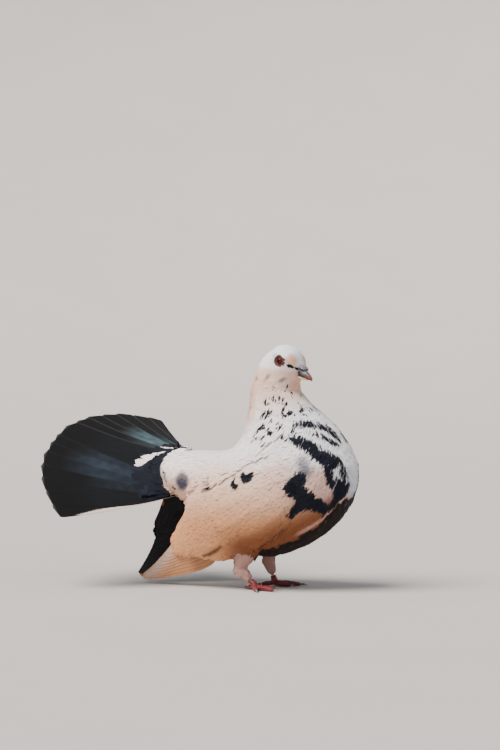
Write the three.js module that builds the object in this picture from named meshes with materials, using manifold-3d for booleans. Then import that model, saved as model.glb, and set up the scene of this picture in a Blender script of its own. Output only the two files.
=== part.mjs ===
// A pied domestic pigeon, life size, standing with its tail raised and fanned, its wings lowered
// beside it and its head turned a little to its right.
//
// Millimetres. +X runs forward along the body, +Y to the bird's left, +Z up, and the floor is z = 0.
// The bird is shaped in a working frame whose origin lies under the middle of the back, and the
// finished group is moved so that the origin is the middle of its footprint.

import * as THREE from 'three';
import { mergeVertices } from 'three/addons/utils/BufferGeometryUtils.js';
import Module from 'manifold-3d';

const wasm = await Module();
wasm.setup();

// ---------------------------------------------------------------- driving dimensions

const CUT = 0.35; // the thin gap that parts one piece of the body from the next
const SLIVER = 0.03; // edges left shorter than this by a cut are closed up
const FOOTPRINT_CENTRE = new THREE.Vector2(1.0, -1.2); // middle of the footprint, in the working frame

const BODY_SIDES = 20; // points round each section of the body
const RINGS_PER_SECTION = 2; // rings from one named section of the body to the next
const HEAD_RINGS_PER_SECTION = 2;

const NECK_AXIS_X = 72; // the upright line that the head turns about
const HEAD_TURN = -17; // degrees, towards the bird's right

const EYE_CENTRE = { x: 90.5, z: 212 }; // before the head is turned
const EYE_RADIUS = 4.7;
const EYE_DEPTH = 10.3; // from the middle of the head to the middle of the eyeball
const LID_RADIUS = 5.3; // middle line of the bare ring round the eye
const LID_THICK = 1.25;
const LID_POINT = 0.9; // how far the ring is drawn out to a point towards the bill
const LID_OUT = 14.1; // from the middle of the head to the middle of the ring

const CERE = {
  centre: { x: 108.3, z: 205.2 }, radii: { x: 4.2, y: 3.2, z: 2.3 }, apart: 1.9, tilt: 34,
};

const TAIL_ROOT = new THREE.Vector3(-8, 0, 107); // where the quills would meet
const TAIL_FEATHERS = 14;
const TAIL_HALF_SPREAD = 48.5; // degrees to each side
const TAIL_LENGTH = 149.5; // root to tips
const TAIL_START = 26; // where the vanes leave the body
const TAIL_TIP_ROUND = 7; // how far a vane's corners fall back from its tip
const TAIL_VANE = 1.3; // thickness of the stack of vanes
const TAIL_STEP = 0.9; // how much each vane lies over the next
const TAIL_RAISE = 0.25; // slope of the middle vanes
const TAIL_ROLL = 0.259; // slope gained towards the left, which is held higher than the right
const TAIL_ARCH = 0.605; // slope lost by the outer vanes, which droop
const TAIL_ROOT_ROLL = 19; // the quills' roots are rolled the same way
const TAIL_ROOT_ARCH = 8;
const TAIL_SAG = 3.5; // the vanes dip between root and tip
const TAIL_OUTER_SHORTER = 9; // the outermost vanes are shorter than the middle ones

const COVERT_LENGTH = 30; // how far the tail coverts reach over the vanes
const COVERT_THICK = 8.5; // at their root

const FLIGHT_THICK = 2.2; // stack of flight feathers
const WING_LAYER_GAP = 0.5; // between the upper and the lower stack
const LEFT_WING_BACK = 12; // the left wing is held further back than the right
const LEFT_WING_OPEN = 46; // and its rear edge is let out by this much at the middle

const FEATHERED_SHARE = 0.8; // of the shank, from the hock down
const TOE_RADIUS = 2.5;
const CLAW_LENGTH = 6.5;
const SOLE_HEIGHT = 0.9; // the flat that a toe stands on is this far under its middle line

// ---------------------------------------------------------------- materials

function finish(hex, roughness) {
  return new THREE.MeshStandardMaterial({ color: hex, roughness, metalness: 0 });
}

const WHITE_PLUMAGE = () => finish('#e9e2dc', 0.85);
const BLACK_PLUMAGE = () => finish('#232328', 0.7);
const HORN = () => finish('#3a3436', 0.45);
const PALE_HORN = () => finish('#c9b6a6', 0.5);
const WATTLE = () => finish('#e6ded8', 0.8);
const RED_SKIN = () => finish('#9c3b3f', 0.6);
const EYE = () => finish('#b04a1e', 0.15);
const LID = () => finish('#7d4138', 0.6);

// ---------------------------------------------------------------- meshes and solids

// A closed body from rings of equal length. A fan of faces closes each end, or a strip of faces
// from side to side where the rings are thin and bent.
function skinOver(rings, thin = false) {
  const sides = rings[0].length;
  const points = rings.flat();
  const faces = [];
  for (let r = 0; r + 1 < rings.length; r += 1) {
    for (let i = 0; i < sides; i += 1) {
      const j = (i + 1) % sides;
      const a = r * sides + i;
      const b = r * sides + j;
      faces.push([a, b, b + sides], [a, b + sides, a + sides]);
    }
  }
  for (const [first, flip] of [[0, true], [(rings.length - 1) * sides, false]]) {
    const turn = (face) => (flip ? [face[0], face[2], face[1]] : face);
    if (thin) {
      for (let i = 0; i < sides / 2 - 1; i += 1) {
        const j = sides - 1 - i;
        faces.push(turn([first + i, first + i + 1, first + j - 1]));
        faces.push(turn([first + i, first + j - 1, first + j]));
      }
    } else {
      const middle = new THREE.Vector3();
      for (let i = 0; i < sides; i += 1) {
        middle.addScaledVector(points[first + i], 1 / sides);
      }
      const centre = points.push(middle) - 1;
      for (let i = 0; i < sides; i += 1) {
        faces.push(turn([centre, first + i, first + ((i + 1) % sides)]));
      }
    }
  }
  return facing(points, faces);
}

// The volume's sign says which way the faces point, so that every body ends with them outwards.
function facing(points, faces) {
  let volume = 0;
  const cross = new THREE.Vector3();
  for (const [a, b, c] of faces) {
    volume += points[a].dot(cross.crossVectors(points[b], points[c]));
  }
  const turned = volume < 0 ? faces.map(([a, b, c]) => [a, c, b]) : faces;
  const geometry = new THREE.BufferGeometry();
  geometry.setAttribute('position', new THREE.Float32BufferAttribute(
    points.flatMap((p) => [p.x, p.y, p.z]), 3));
  geometry.setIndex(turned.flat());
  return geometry;
}

function solid(geometry) {
  const bare = geometry.clone();
  bare.deleteAttribute('normal');
  bare.deleteAttribute('uv');
  const closed = mergeVertices(bare, 1e-4);
  return new wasm.Manifold(new wasm.Mesh({
    numProp: 3,
    vertProperties: Float32Array.from(closed.attributes.position.array),
    triVerts: Uint32Array.from(closed.index.array),
  }));
}

// The largest body of a solid: a cut can leave slivers, and each piece is one body.
function largest(body) {
  const pieces = body.decompose();
  return pieces.reduce((best, piece) => (piece.volume() > best.volume() ? piece : best));
}

function geometryOf(body) {
  const mesh = largest(body).simplify(SLIVER).getMesh();
  const geometry = new THREE.BufferGeometry();
  geometry.setAttribute('position', new THREE.Float32BufferAttribute(mesh.vertProperties, 3));
  geometry.setIndex(Array.from(mesh.triVerts));
  return geometry;
}

function ball(centre, radii, wide = 20, high = 12) {
  const geometry = new THREE.SphereGeometry(1, wide, high);
  geometry.scale(radii.x, radii.y, radii.z);
  geometry.translate(centre.x, centre.y, centre.z);
  return geometry;
}

// Catmull-Rom blend of four numbers, t from the second to the third.
function blend(a, b, c, d, t) {
  const rise = (c - a) / 2;
  const fall = (d - b) / 2;
  return ((2 * b - 2 * c + rise + fall) * t + (3 * c - 3 * b - 2 * rise - fall)) * t * t + rise * t + b;
}

// The list's value at a fractional place, smooth through every entry.
function smoothAt(list, place, pick) {
  const last = list.length - 1;
  const i = Math.min(Math.floor(place), last - 1);
  const at = (k) => pick(list[Math.min(Math.max(k, 0), last)]);
  return blend(at(i - 1), at(i), at(i + 1), at(i + 2), place - i);
}

// ---------------------------------------------------------------- the body's sections

// Each section is an egg-shaped ring in a plane through the body. `back` is its point on the
// back, nape or crown, `front` its point on the belly, breast, throat or face (both x, z),
// `half` its half width, `widest` where that width lies from back to front, and `turn` its share
// of the head's turn.
const SECTIONS = [
  { name: 'root of the tail', back: [-45, 117], front: [-43, 97], half: 14, widest: 0.5, turn: 0 },
  { name: 'rump', back: [-31, 124.5], front: [-29, 83], half: 27, widest: 0.47, turn: 0 },
  { name: 'hips', back: [-6, 127.5], front: [0, 65], half: 36, widest: 0.45, turn: 0 },
  { name: 'middle', back: [18, 127.5], front: [31, 43], half: 43.5, widest: 0.46, turn: 0 },
  { name: 'shoulders', back: [33, 131.5], front: [58, 29], half: 48, widest: 0.47, turn: 0 },
  { name: 'keel', back: [41, 139], front: [88, 33.5], half: 50, widest: 0.5, turn: 0 },
  { name: 'crop', back: [45, 147], front: [123.5, 51.5], half: 49.5, widest: 0.52, turn: 0 },
  { name: 'breast', back: [46.5, 156], front: [149, 80.5], half: 46, widest: 0.54, turn: 0 },
  { name: 'upper breast', back: [47, 165], front: [155, 116], half: 39.5, widest: 0.54, turn: 0 },
  { name: 'foot of the neck', back: [47.5, 173], front: [135.5, 149], half: 32.5, widest: 0.5, turn: 0 },
  { name: 'neck', back: [48.2, 182], front: [112.5, 169.5], half: 26, widest: 0.48, turn: 0.1 },
  { name: 'throat', back: [50.5, 193], front: [99.5, 184], half: 22, widest: 0.47, turn: 0.35 },
  { name: 'nape', back: [55.5, 205.5], front: [98.5, 187.5], half: 19, widest: 0.46, turn: 0.7 },
  { name: 'back of the head', back: [63, 217.5], front: [99.5, 189.5], half: 16.6, widest: 0.45, turn: 1 },
  { name: 'crown', back: [77, 226], front: [100.5, 191.3], half: 15.2, widest: 0.44, turn: 1 },
  { name: 'over the eye', back: [90, 227], front: [101.3, 193], half: 14.4, widest: 0.43, turn: 1 },
  { name: 'forehead', back: [100.5, 221.3], front: [102.2, 194.6], half: 12, widest: 0.45, turn: 1 },
  { name: 'brow', back: [105, 212.5], front: [103.2, 195.6], half: 8.6, widest: 0.52, turn: 1 },
  { name: 'face', back: [106.4, 206.5], front: [103.8, 197], half: 5.2, widest: 0.5, turn: 1 },
];

const placeOf = (name) => SECTIONS.findIndex((section) => section.name === name);

function turned(point, share) {
  const angle = THREE.MathUtils.degToRad(HEAD_TURN * share);
  const ahead = point.x - NECK_AXIS_X;
  return new THREE.Vector3(
    NECK_AXIS_X + ahead * Math.cos(angle) - point.y * Math.sin(angle),
    ahead * Math.sin(angle) + point.y * Math.cos(angle),
    point.z,
  );
}

// An egg-shaped ring from its back point to its front point.
function eggRing({ back, front, half, widest, turn }, sides, grow = 0) {
  const line = new THREE.Vector2().subVectors(front, back);
  const length = line.length();
  const along = line.clone().divideScalar(length);
  const middle = back.clone().addScaledVector(line, widest);
  const ring = [];
  for (let i = 0; i < sides; i += 1) {
    const angle = (2 * Math.PI * i) / sides;
    const up = Math.cos(angle);
    const reach = (up > 0 ? widest : 1 - widest) * length + grow;
    const point = middle.clone().addScaledVector(along, -up * reach);
    ring.push(turned(new THREE.Vector3(point.x, (half + grow) * Math.sin(angle), point.y), turn));
  }
  return ring;
}

function sectionAt(list, place) {
  const value = (pick) => smoothAt(list, place, pick);
  return {
    back: new THREE.Vector2(value((s) => s.back[0]), value((s) => s.back[1])),
    front: new THREE.Vector2(value((s) => s.front[0]), value((s) => s.front[1])),
    half: value((s) => s.half),
    widest: value((s) => s.widest),
    turn: value((s) => s.turn),
  };
}

// The rings of a stretch of the body. A stretch that starts at a cut has its first ring moved
// into itself by the width of the cut.
function bodyRings(from, to, perSection, grow = 0) {
  const steps = Math.round((to - from) * perSection);
  const rings = [];
  for (let k = 0; k <= steps; k += 1) {
    rings.push(eggRing(sectionAt(SECTIONS, from + (k / steps) * (to - from)), BODY_SIDES, grow));
  }
  return rings;
}

function middleOf(ring) {
  const middle = new THREE.Vector3();
  for (const point of ring) {
    middle.addScaledVector(point, 1 / ring.length);
  }
  return middle;
}

function startAfterCut(rings) {
  const [first, second] = rings;
  const quarter = Math.round(first.length / 4);
  const across = new THREE.Vector3().subVectors(first[quarter], middleOf(first));
  const up = new THREE.Vector3().subVectors(first[0], middleOf(first));
  const normal = new THREE.Vector3().crossVectors(across, up).normalize();
  const onward = new THREE.Vector3().subVectors(middleOf(second), middleOf(first));
  normal.multiplyScalar(Math.sign(normal.dot(onward)) * CUT);
  return [first.map((point) => point.clone().add(normal)), ...rings.slice(1)];
}

// ---------------------------------------------------------------- head, neck and trunk

const NECK_STARTS = placeOf('foot of the neck');
const HEAD_STARTS = placeOf('throat') + 0.5;

function eyeCentre(side, out) {
  return turned(new THREE.Vector3(EYE_CENTRE.x, side * out, EYE_CENTRE.z), 1);
}

function eyeGeometry(side, grow = 0) {
  const radius = EYE_RADIUS + grow;
  return ball(eyeCentre(side, EYE_DEPTH), { x: radius, y: radius, z: radius }, 12, 8);
}

// The shallow round seat in the side of the head that the bare ring lies in.
function lidSeat(side) {
  const depth = 8;
  const radius = LID_RADIUS + LID_POINT + LID_THICK + CUT;
  const seat = new THREE.CylinderGeometry(radius, radius, depth, 16);
  seat.translate(0, side * (LID_OUT - LID_THICK - CUT + depth / 2), 0);
  seat.translate(EYE_CENTRE.x - NECK_AXIS_X, 0, EYE_CENTRE.z);
  seat.rotateZ(THREE.MathUtils.degToRad(HEAD_TURN));
  seat.translate(NECK_AXIS_X, 0, 0);
  return seat;
}

// The bare ring round the eye, drawn out to a point towards the bill.
function lidGeometry(side) {
  const rings = [];
  const around = 18;
  const section = 6;
  for (let k = 0; k < around; k += 1) {
    const angle = (2 * Math.PI * k) / around;
    const point = Math.max(0, Math.cos(angle + 0.25)) ** 6;
    const reach = LID_RADIUS + LID_POINT * point;
    const ring = [];
    for (let i = 0; i < section; i += 1) {
      const turn = (2 * Math.PI * i) / section;
      const radius = reach + LID_THICK * Math.cos(turn);
      const lift = LID_OUT + LID_THICK * Math.sin(turn);
      ring.push(turned(new THREE.Vector3(
        EYE_CENTRE.x + radius * Math.cos(angle),
        side * lift,
        EYE_CENTRE.z + radius * Math.sin(angle),
      ), 1));
    }
    rings.push(ring);
  }
  const points = rings.flat();
  const faces = [];
  for (let k = 0; k < around; k += 1) {
    for (let i = 0; i < section; i += 1) {
      const a = k * section + i;
      const b = k * section + ((i + 1) % section);
      const c = ((k + 1) % around) * section + ((i + 1) % section);
      const d = ((k + 1) % around) * section + i;
      faces.push([a, b, c], [a, c, d]);
    }
  }
  return facing(points, faces);
}

function headGeometry() {
  const last = SECTIONS.length - 1;
  const rings = startAfterCut(bodyRings(HEAD_STARTS, last, HEAD_RINGS_PER_SECTION));
  let head = solid(skinOver(rings));
  for (const side of [-1, 1]) {
    head = head.subtract(solid(eyeGeometry(side, CUT)));
    head = head.subtract(solid(lidSeat(side)));
  }
  return geometryOf(head);
}

function neckGeometry() {
  return skinOver(startAfterCut(bodyRings(NECK_STARTS, HEAD_STARTS, RINGS_PER_SECTION)));
}

function trunkGeometry(grow = 0) {
  return skinOver(bodyRings(0, NECK_STARTS, RINGS_PER_SECTION, grow));
}

// ---------------------------------------------------------------- bill

const UPPER_BILL = [
  { name: 'base', back: [107.0, 206.6], front: [103.9, 197.4], half: 4.6, widest: 0.62, turn: 1 },
  { name: 'nostrils', back: [111.2, 203.6], front: [107.9, 195.7], half: 3.8, widest: 0.62, turn: 1 },
  { name: 'middle', back: [115.2, 200.3], front: [112.2, 194.2], half: 2.7, widest: 0.62, turn: 1 },
  { name: 'hook', back: [118.2, 196.6], front: [116.2, 192.6], half: 1.6, widest: 0.6, turn: 1 },
  { name: 'tip', back: [119.1, 193.2], front: [118.5, 191.8], half: 0.5, widest: 0.5, turn: 1 },
];

const LOWER_BILL = [
  { name: 'base', back: [104.2, 196.7], front: [103.2, 192.6], half: 4.1, widest: 0.3, turn: 1 },
  { name: 'middle', back: [108.6, 194.7], front: [107.9, 191.7], half: 3.2, widest: 0.3, turn: 1 },
  { name: 'end', back: [112.8, 193.1], front: [112.4, 191.3], half: 2, widest: 0.3, turn: 1 },
  { name: 'tip', back: [115.2, 192.1], front: [114.9, 191.3], half: 0.6, widest: 0.4, turn: 1 },
];

function billForm(list, grow = 0) {
  const rings = [];
  const steps = (list.length - 1) * 2;
  for (let k = 0; k <= steps; k += 1) {
    rings.push(eggRing(sectionAt(list, k / 2), 12, grow));
  }
  return solid(skinOver(rings));
}

// The front of the face, grown by the cut, which everything on the bill stops short of.
function faceForm() {
  const from = placeOf('forehead');
  return solid(skinOver(bodyRings(from, SECTIONS.length - 1, HEAD_RINGS_PER_SECTION, CUT)));
}

function upperBillGeometry() {
  return geometryOf(billForm(UPPER_BILL).subtract(faceForm()));
}

function lowerBillGeometry() {
  return geometryOf(billForm(LOWER_BILL).subtract(faceForm()).subtract(billForm(UPPER_BILL, CUT)));
}

// The wattle is a pale swelling in two lobes across the base of the upper bill.
function cereGeometry() {
  const { radii, tilt, centre, apart } = CERE;
  const lobes = [-1, 1].map((side) => {
    const lobe = ball({ x: 0, y: 0, z: 0 }, radii, 8, 6);
    lobe.rotateY(THREE.MathUtils.degToRad(tilt));
    lobe.translate(centre.x - NECK_AXIS_X, side * apart, centre.z);
    lobe.rotateZ(THREE.MathUtils.degToRad(HEAD_TURN));
    lobe.translate(NECK_AXIS_X, 0, 0);
    return solid(lobe);
  });
  return geometryOf(lobes[0].add(lobes[1]).subtract(billForm(UPPER_BILL, CUT)).subtract(faceForm()));
}

// ---------------------------------------------------------------- wings

// Three guide lines of the right wing from its wrist to its tip: the upper edge, the middle of
// its outer face and the lower edge (x, y, z).
const WING_LINES = [
  { name: 'wrist', top: [113, -38, 117], middle: [118, -43, 101], low: [115, -38, 85] },
  { name: 'upper arm', top: [92, -41, 129], middle: [103, -52, 99], low: [107, -43, 62] },
  { name: 'elbow', top: [62, -45.5, 122], middle: [74, -55.5, 83], low: [84, -42, 41] },
  { name: 'coverts', top: [32, -44, 111], middle: [42, -52, 69], low: [54, -36, 28.5] },
  { name: 'first secondary', top: [5, -40, 97], middle: [14, -43, 55], low: [25, -30, 19.5] },
  { name: 'last secondary', top: [-8, -31, 66], middle: [-3, -32, 38], low: [3, -24, 12.5] },
  { name: 'outer vanes', top: [-31, -21, 40], middle: [-26, -22.5, 22], low: [-20, -18, 5.5] },
  { name: 'tip', top: [-62, -12.5, 12], middle: [-63, -13, 6], low: [-60, -11.5, 0.6] },
];

const WING_END = WING_LINES.length - 1;
const COVERTS_END = 3.35; // place along the wing where the coverts give way to the flight feathers
const PRIMARIES_START = 3.85; // under the secondaries, clear of the thigh

function wingLine(edge, place, side) {
  const value = (axis) => smoothAt(WING_LINES, place, (line) => line[edge][axis]);
  const point = new THREE.Vector3(value(0), value(1), value(2));
  if (side > 0) {
    const share = place / WING_END;
    const opened = edge === 'low' ? 0.25 : edge === 'middle' ? 0.7 : 1;
    const from = Math.max(0, Math.sin(Math.PI * Math.min(1, Math.max(0, (share - 0.2) / 0.8))));
    point.x -= LEFT_WING_BACK * Math.min(1, share * 2) + LEFT_WING_OPEN * opened * from;
    point.y = -point.y;
  }
  return point;
}

// A point of the wing's outer face: place along it, share from the upper to the lower edge.
function wingFace(place, across, side) {
  const top = wingLine('top', place, side);
  const middle = wingLine('middle', place, side);
  const low = wingLine('low', place, side);
  return top.multiplyScalar((1 - across) * (1 - 2 * across))
    .addScaledVector(middle, 4 * across * (1 - across))
    .addScaledVector(low, across * (2 * across - 1));
}

function wingPoint(place, across, depth, side) {
  const tiny = 0.01;
  const here = wingFace(place, across, side);
  const on = wingFace(Math.min(place + tiny, WING_END), across, side)
    .sub(wingFace(Math.max(place - tiny, 0), across, side));
  const down = wingFace(place, across + tiny, side).sub(wingFace(place, across - tiny, side));
  const inward = on.cross(down).normalize();
  if (inward.y * side > 0) {
    inward.negate();
  }
  return here.addScaledVector(inward, depth);
}

// A panel of the wing between two places and two edges, with its outer and inner faces at the
// given depths under the wing's face.
function wingPanel({ from, to, steps, upper, lower, outer, inner, across = 5 }, side) {
  const rings = [];
  for (let k = 0; k <= steps; k += 1) {
    const share = k / steps;
    const place = from + (to - from) * share;
    const high = upper(share);
    const low = lower(share);
    const ring = [];
    for (let i = 0; i <= across; i += 1) {
      ring.push(wingPoint(place, high + ((low - high) * i) / across, outer(share, i / across), side));
    }
    for (let i = across; i >= 0; i -= 1) {
      ring.push(wingPoint(place, high + ((low - high) * i) / across, inner(share, i / across), side));
    }
    rings.push(ring);
  }
  return skinOver(rings, true);
}

// The wing's front: wrist, forearm and coverts, thick and rounded, resting on the trunk.
function shoulderPanel(side) {
  const rounding = (share, across) => {
    const edge = 3.2 * Math.abs(2 * across - 1) ** 4;
    return edge + 5 * (1 - share) ** 6;
  };
  return wingPanel({
    from: 0,
    to: COVERTS_END,
    steps: 9,
    upper: () => 0,
    lower: () => 1,
    outer: (share, across) => rounding(share, across),
    inner: (share) => 14 - 9.5 * share,
  }, side);
}

const SECONDARY_ENDS = 5; // rounded ends that show along the rear edge of the secondaries
const PRIMARY_ENDS = 4; // stacked ends along the lower edge towards the tip

function scallop(share, count, depth) {
  const within = (share * count) % 1;
  return depth * Math.abs(2 * within - 1) ** 3;
}

// Secondaries: the upper, outer stack, ending in a row of rounded tips.
function secondariesPanel(side) {
  return wingPanel({
    from: COVERTS_END + 0.02,
    to: 5.75,
    steps: 13,
    upper: () => 0.0,
    lower: (share) => 0.98 - 0.52 * share ** 1.4 - scallop(share, SECONDARY_ENDS, 0.035),
    outer: (share, across) => 0.6 + 0.8 * Math.abs(2 * across - 1) ** 4,
    inner: () => 0.6 + FLIGHT_THICK,
  }, side);
}

// Primaries: the lower, inner stack, running on to the tip of the wing.
function primariesPanel(side) {
  const top = 0.6 + FLIGHT_THICK + WING_LAYER_GAP;
  return wingPanel({
    from: PRIMARIES_START,
    to: WING_END,
    steps: 15,
    upper: (share) => 0.3 - 0.3 * Math.min(1, share * 1.25),
    lower: (share) => 1 - scallop(share, PRIMARY_ENDS, 0.03) * share,
    outer: () => top,
    inner: (share) => top + FLIGHT_THICK - 0.6 * share,
  }, side);
}

// ---------------------------------------------------------------- tail

// The way a vane points, by its angle from the middle of the fan.
function tailDirection(angle) {
  const slope = TAIL_RAISE + TAIL_ROLL * Math.sin(angle) - TAIL_ARCH * (1 - Math.cos(angle));
  return new THREE.Vector3(-Math.cos(angle), Math.sin(angle), slope).normalize();
}

function tailPoint(angle, reach, lift) {
  const along = tailDirection(angle);
  const beside = tailDirection(angle + 0.01).sub(tailDirection(angle - 0.01));
  const up = beside.cross(along).normalize();
  if (up.z < 0) {
    up.negate();
  }
  const root = TAIL_ROOT.clone();
  root.z += TAIL_ROOT_ROLL * Math.sin(angle) - TAIL_ROOT_ARCH * (1 - Math.cos(angle));
  const dip = TAIL_SAG * 4 * (reach / TAIL_LENGTH) * (1 - reach / TAIL_LENGTH);
  return root.addScaledVector(along, reach).addScaledVector(up, lift - dip);
}

// A slab of the fan between two reaches. `top` and `under` give its faces above the fan.
function fanSlab({ columns, rows, start, end, top, under }) {
  const half = THREE.MathUtils.degToRad(TAIL_HALF_SPREAD);
  const rings = [];
  for (let c = 0; c <= columns; c += 1) {
    const share = c / columns;
    const angle = (2 * share - 1) * half;
    const ring = [];
    for (let r = 0; r <= rows; r += 1) {
      const along = r / rows;
      const reach = start(share) + (end(share) - start(share)) * along;
      ring.push(tailPoint(angle, reach, top(share, along)));
    }
    for (let r = rows; r >= 0; r -= 1) {
      const along = r / rows;
      const reach = start(share) + (end(share) - start(share)) * along;
      ring.push(tailPoint(angle, reach, under(share, along)));
    }
    rings.push(ring);
  }
  return skinOver(rings, true);
}

// The fan of vanes, joined edge over edge, each with a rounded tip. From the middle outwards
// each vane lies under the one before it.
function tailGeometry(grow = 0) {
  const within = (share) => (share * TAIL_FEATHERS) % 1;
  const shorter = (share) => TAIL_OUTER_SHORTER * Math.abs(2 * share - 1) ** 3;
  const overlap = (share) => TAIL_STEP * (share < 0.5 ? within(share) : 1 - within(share));
  return fanSlab({
    columns: TAIL_FEATHERS * 3,
    rows: 4,
    start: () => TAIL_START - grow,
    end: (share) => TAIL_LENGTH - shorter(share) - TAIL_TIP_ROUND * Math.abs(2 * within(share) - 1) ** 2.5,
    top: (share, along) => TAIL_VANE / 2 + overlap(share) * Math.min(1, 3 * along) + grow,
    under: () => -TAIL_VANE / 2 - grow,
  });
}

// Coverts over and under the roots of the vanes, thick at the body and thin at their ends.
function covertsGeometry(above) {
  const side = above ? 1 : -1;
  const face = above ? TAIL_VANE / 2 + TAIL_STEP + CUT : TAIL_VANE / 2 + CUT;
  const full = (share) => Math.max(0.05, 1 - Math.abs(2 * share - 1) ** 2.5);
  const away = (share, along) => face + 0.6 + COVERT_THICK * full(share) * (1 - along) ** 1.6;
  return fanSlab({
    columns: 10,
    rows: 3,
    start: () => TAIL_START,
    end: (share) => TAIL_START + COVERT_LENGTH * (0.75 + 0.25 * full(share)),
    top: (share, along) => side * (above ? away(share, along) : face),
    under: (share, along) => side * (above ? face : away(share, along)),
  });
}

// ---------------------------------------------------------------- legs and feet

const LEGS = [
  { side: 'right', y: -1, hip: [60, 25, 44], hock: [46, 24, 19], ankle: [63, 24.5, 7], out: 24 },
  { side: 'left', y: 1, hip: [60, 25, 46], hock: [55, 23, 25], ankle: [62, 22.5, 7], out: 20 },
];

// A round limb along a line, from one radius to another.
function limb(points, radii, sides = 14) {
  const rings = points.map((point, i) => {
    const before = points[Math.max(0, i - 1)];
    const after = points[Math.min(points.length - 1, i + 1)];
    const along = new THREE.Vector3().subVectors(after, before).normalize();
    const across = new THREE.Vector3(0, 1, 0).addScaledVector(along, -along.y).normalize();
    const up = new THREE.Vector3().crossVectors(along, across);
    const ring = [];
    for (let k = 0; k < sides; k += 1) {
      const angle = (2 * Math.PI * k) / sides;
      ring.push(point.clone()
        .addScaledVector(across, radii[i] * Math.cos(angle))
        .addScaledVector(up, radii[i] * Math.sin(angle)));
    }
    return ring;
  });
  return skinOver(rings);
}

const TOES = [
  { name: 'inner', angle: 38, length: 19 },
  { name: 'middle', angle: 2, length: 25 },
  { name: 'outer', angle: -36, length: 20 },
  { name: 'hind', angle: 176, length: 12 },
];

const at = (list, sign) => new THREE.Vector3(list[0], sign * list[1], list[2]);

// The middle line of a toe, from under the ankle down to its flat on the floor and out.
function toeLine(leg, toe) {
  const heading = THREE.MathUtils.degToRad(leg.y * (toe.angle * -1 + leg.out));
  const ahead = new THREE.Vector3(Math.cos(heading), Math.sin(heading), 0);
  const ankle = at(leg.ankle, leg.y);
  const line = [];
  for (const [share, height] of [[0, 4.4], [0.35, 3.4], [0.7, 3.1], [1, 2.6]]) {
    line.push(ankle.clone().addScaledVector(ahead, toe.length * share).setZ(height));
  }
  return line;
}

function toeSolid(leg, toe) {
  const slim = toe.name === 'hind' ? 0.85 : 1;
  const swell = [1.15, 1, 1.05, 0.62];
  return solid(limb(toeLine(leg, toe), swell.map((s) => s * slim * TOE_RADIUS), 7));
}

// Everything under the floor is cut off a foot, which gives each toe its flat.
function floorBlock() {
  const block = new THREE.BoxGeometry(200, 200, 20);
  block.translate(60, 0, -10);
  return solid(block);
}

function footGeometry(leg) {
  const ankle = at(leg.ankle, leg.y);
  const bare = [ankle.clone().setZ(3.5), ankle, shankEnd(leg, 0)];
  let foot = solid(limb(bare, [3.4, 3.1, 2.6], 10));
  for (const toe of TOES) {
    foot = foot.add(toeSolid(leg, toe));
  }
  return geometryOf(foot.translate([0, 0, -SOLE_HEIGHT]).subtract(floorBlock()));
}

function clawGeometry(leg, toe) {
  const line = toeLine(leg, toe);
  const end = line[line.length - 1];
  const ahead = new THREE.Vector3().subVectors(end, line[0]).setZ(0).normalize();
  const long = toe.name === 'hind' ? 0.85 : 1;
  const points = [[0.45, 0.1], [0.55 * CLAW_LENGTH, 0.15], [CLAW_LENGTH, -1.0]]
    .map(([out, rise]) => end.clone().addScaledVector(ahead, out * long)
      .setZ(end.z - SOLE_HEIGHT + rise));
  return limb(points, [1.25, 0.9, 0.3], 6);
}

// Where the feathering of the shank ends and the bare foot begins.
function shankEnd(leg, gap) {
  const hock = at(leg.hock, leg.y);
  const ankle = at(leg.ankle, leg.y);
  return hock.lerp(ankle, FEATHERED_SHARE - gap / hock.distanceTo(ankle));
}

function shankGeometry(leg, trunk) {
  const hock = at(leg.hock, leg.y);
  const ankle = at(leg.ankle, leg.y);
  const low = shankEnd(leg, 2 * CUT);
  const back = hock.clone().lerp(ankle, -0.16);
  const shank = limb([back, hock, hock.clone().lerp(ankle, 0.45), low], [3.2, 6.6, 5.4, 3.7]);
  return geometryOf(solid(shank).subtract(trunk).subtract(solid(thighForm(leg, CUT))));
}

function thighForm(leg, grow = 0) {
  const hip = at(leg.hip, leg.y);
  const hock = at(leg.hock, leg.y);
  const end = hip.clone().lerp(hock, 0.92);
  return limb([hip, hip.clone().lerp(hock, 0.5), end], [13 + grow, 11 + grow, 7.2 + grow]);
}

function thighGeometry(leg, trunk) {
  return geometryOf(solid(thighForm(leg)).subtract(trunk));
}

// ---------------------------------------------------------------- the bird

const pigeon = new THREE.Group();

function place(name, geometry, material) {
  const mesh = new THREE.Mesh(geometry, material);
  mesh.name = name;
  pigeon.add(mesh);
}

const grownTrunk = solid(trunkGeometry(CUT));
const grownNeck = solid(skinOver(bodyRings(NECK_STARTS, HEAD_STARTS, RINGS_PER_SECTION, CUT)));

place('head', headGeometry(), WHITE_PLUMAGE());
place('neck', neckGeometry(), WHITE_PLUMAGE());

for (const [side, sign] of [['right', -1], ['left', 1]]) {
  place(`eye_${side}`, eyeGeometry(sign), EYE());
  place(`eyelid_${side}`, lidGeometry(sign), LID());
}

place('bill_upper', upperBillGeometry(), HORN());
place('bill_lower', lowerBillGeometry(), PALE_HORN());
place('cere', cereGeometry(), WATTLE());

place('trunk', geometryOf(solid(trunkGeometry()).subtract(solid(tailGeometry(CUT)))), WHITE_PLUMAGE());
place('tail', tailGeometry(), BLACK_PLUMAGE());
place('tail_coverts_upper', geometryOf(solid(covertsGeometry(true)).subtract(grownTrunk)), WHITE_PLUMAGE());
place('tail_coverts_under', geometryOf(solid(covertsGeometry(false)).subtract(grownTrunk)), BLACK_PLUMAGE());

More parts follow.
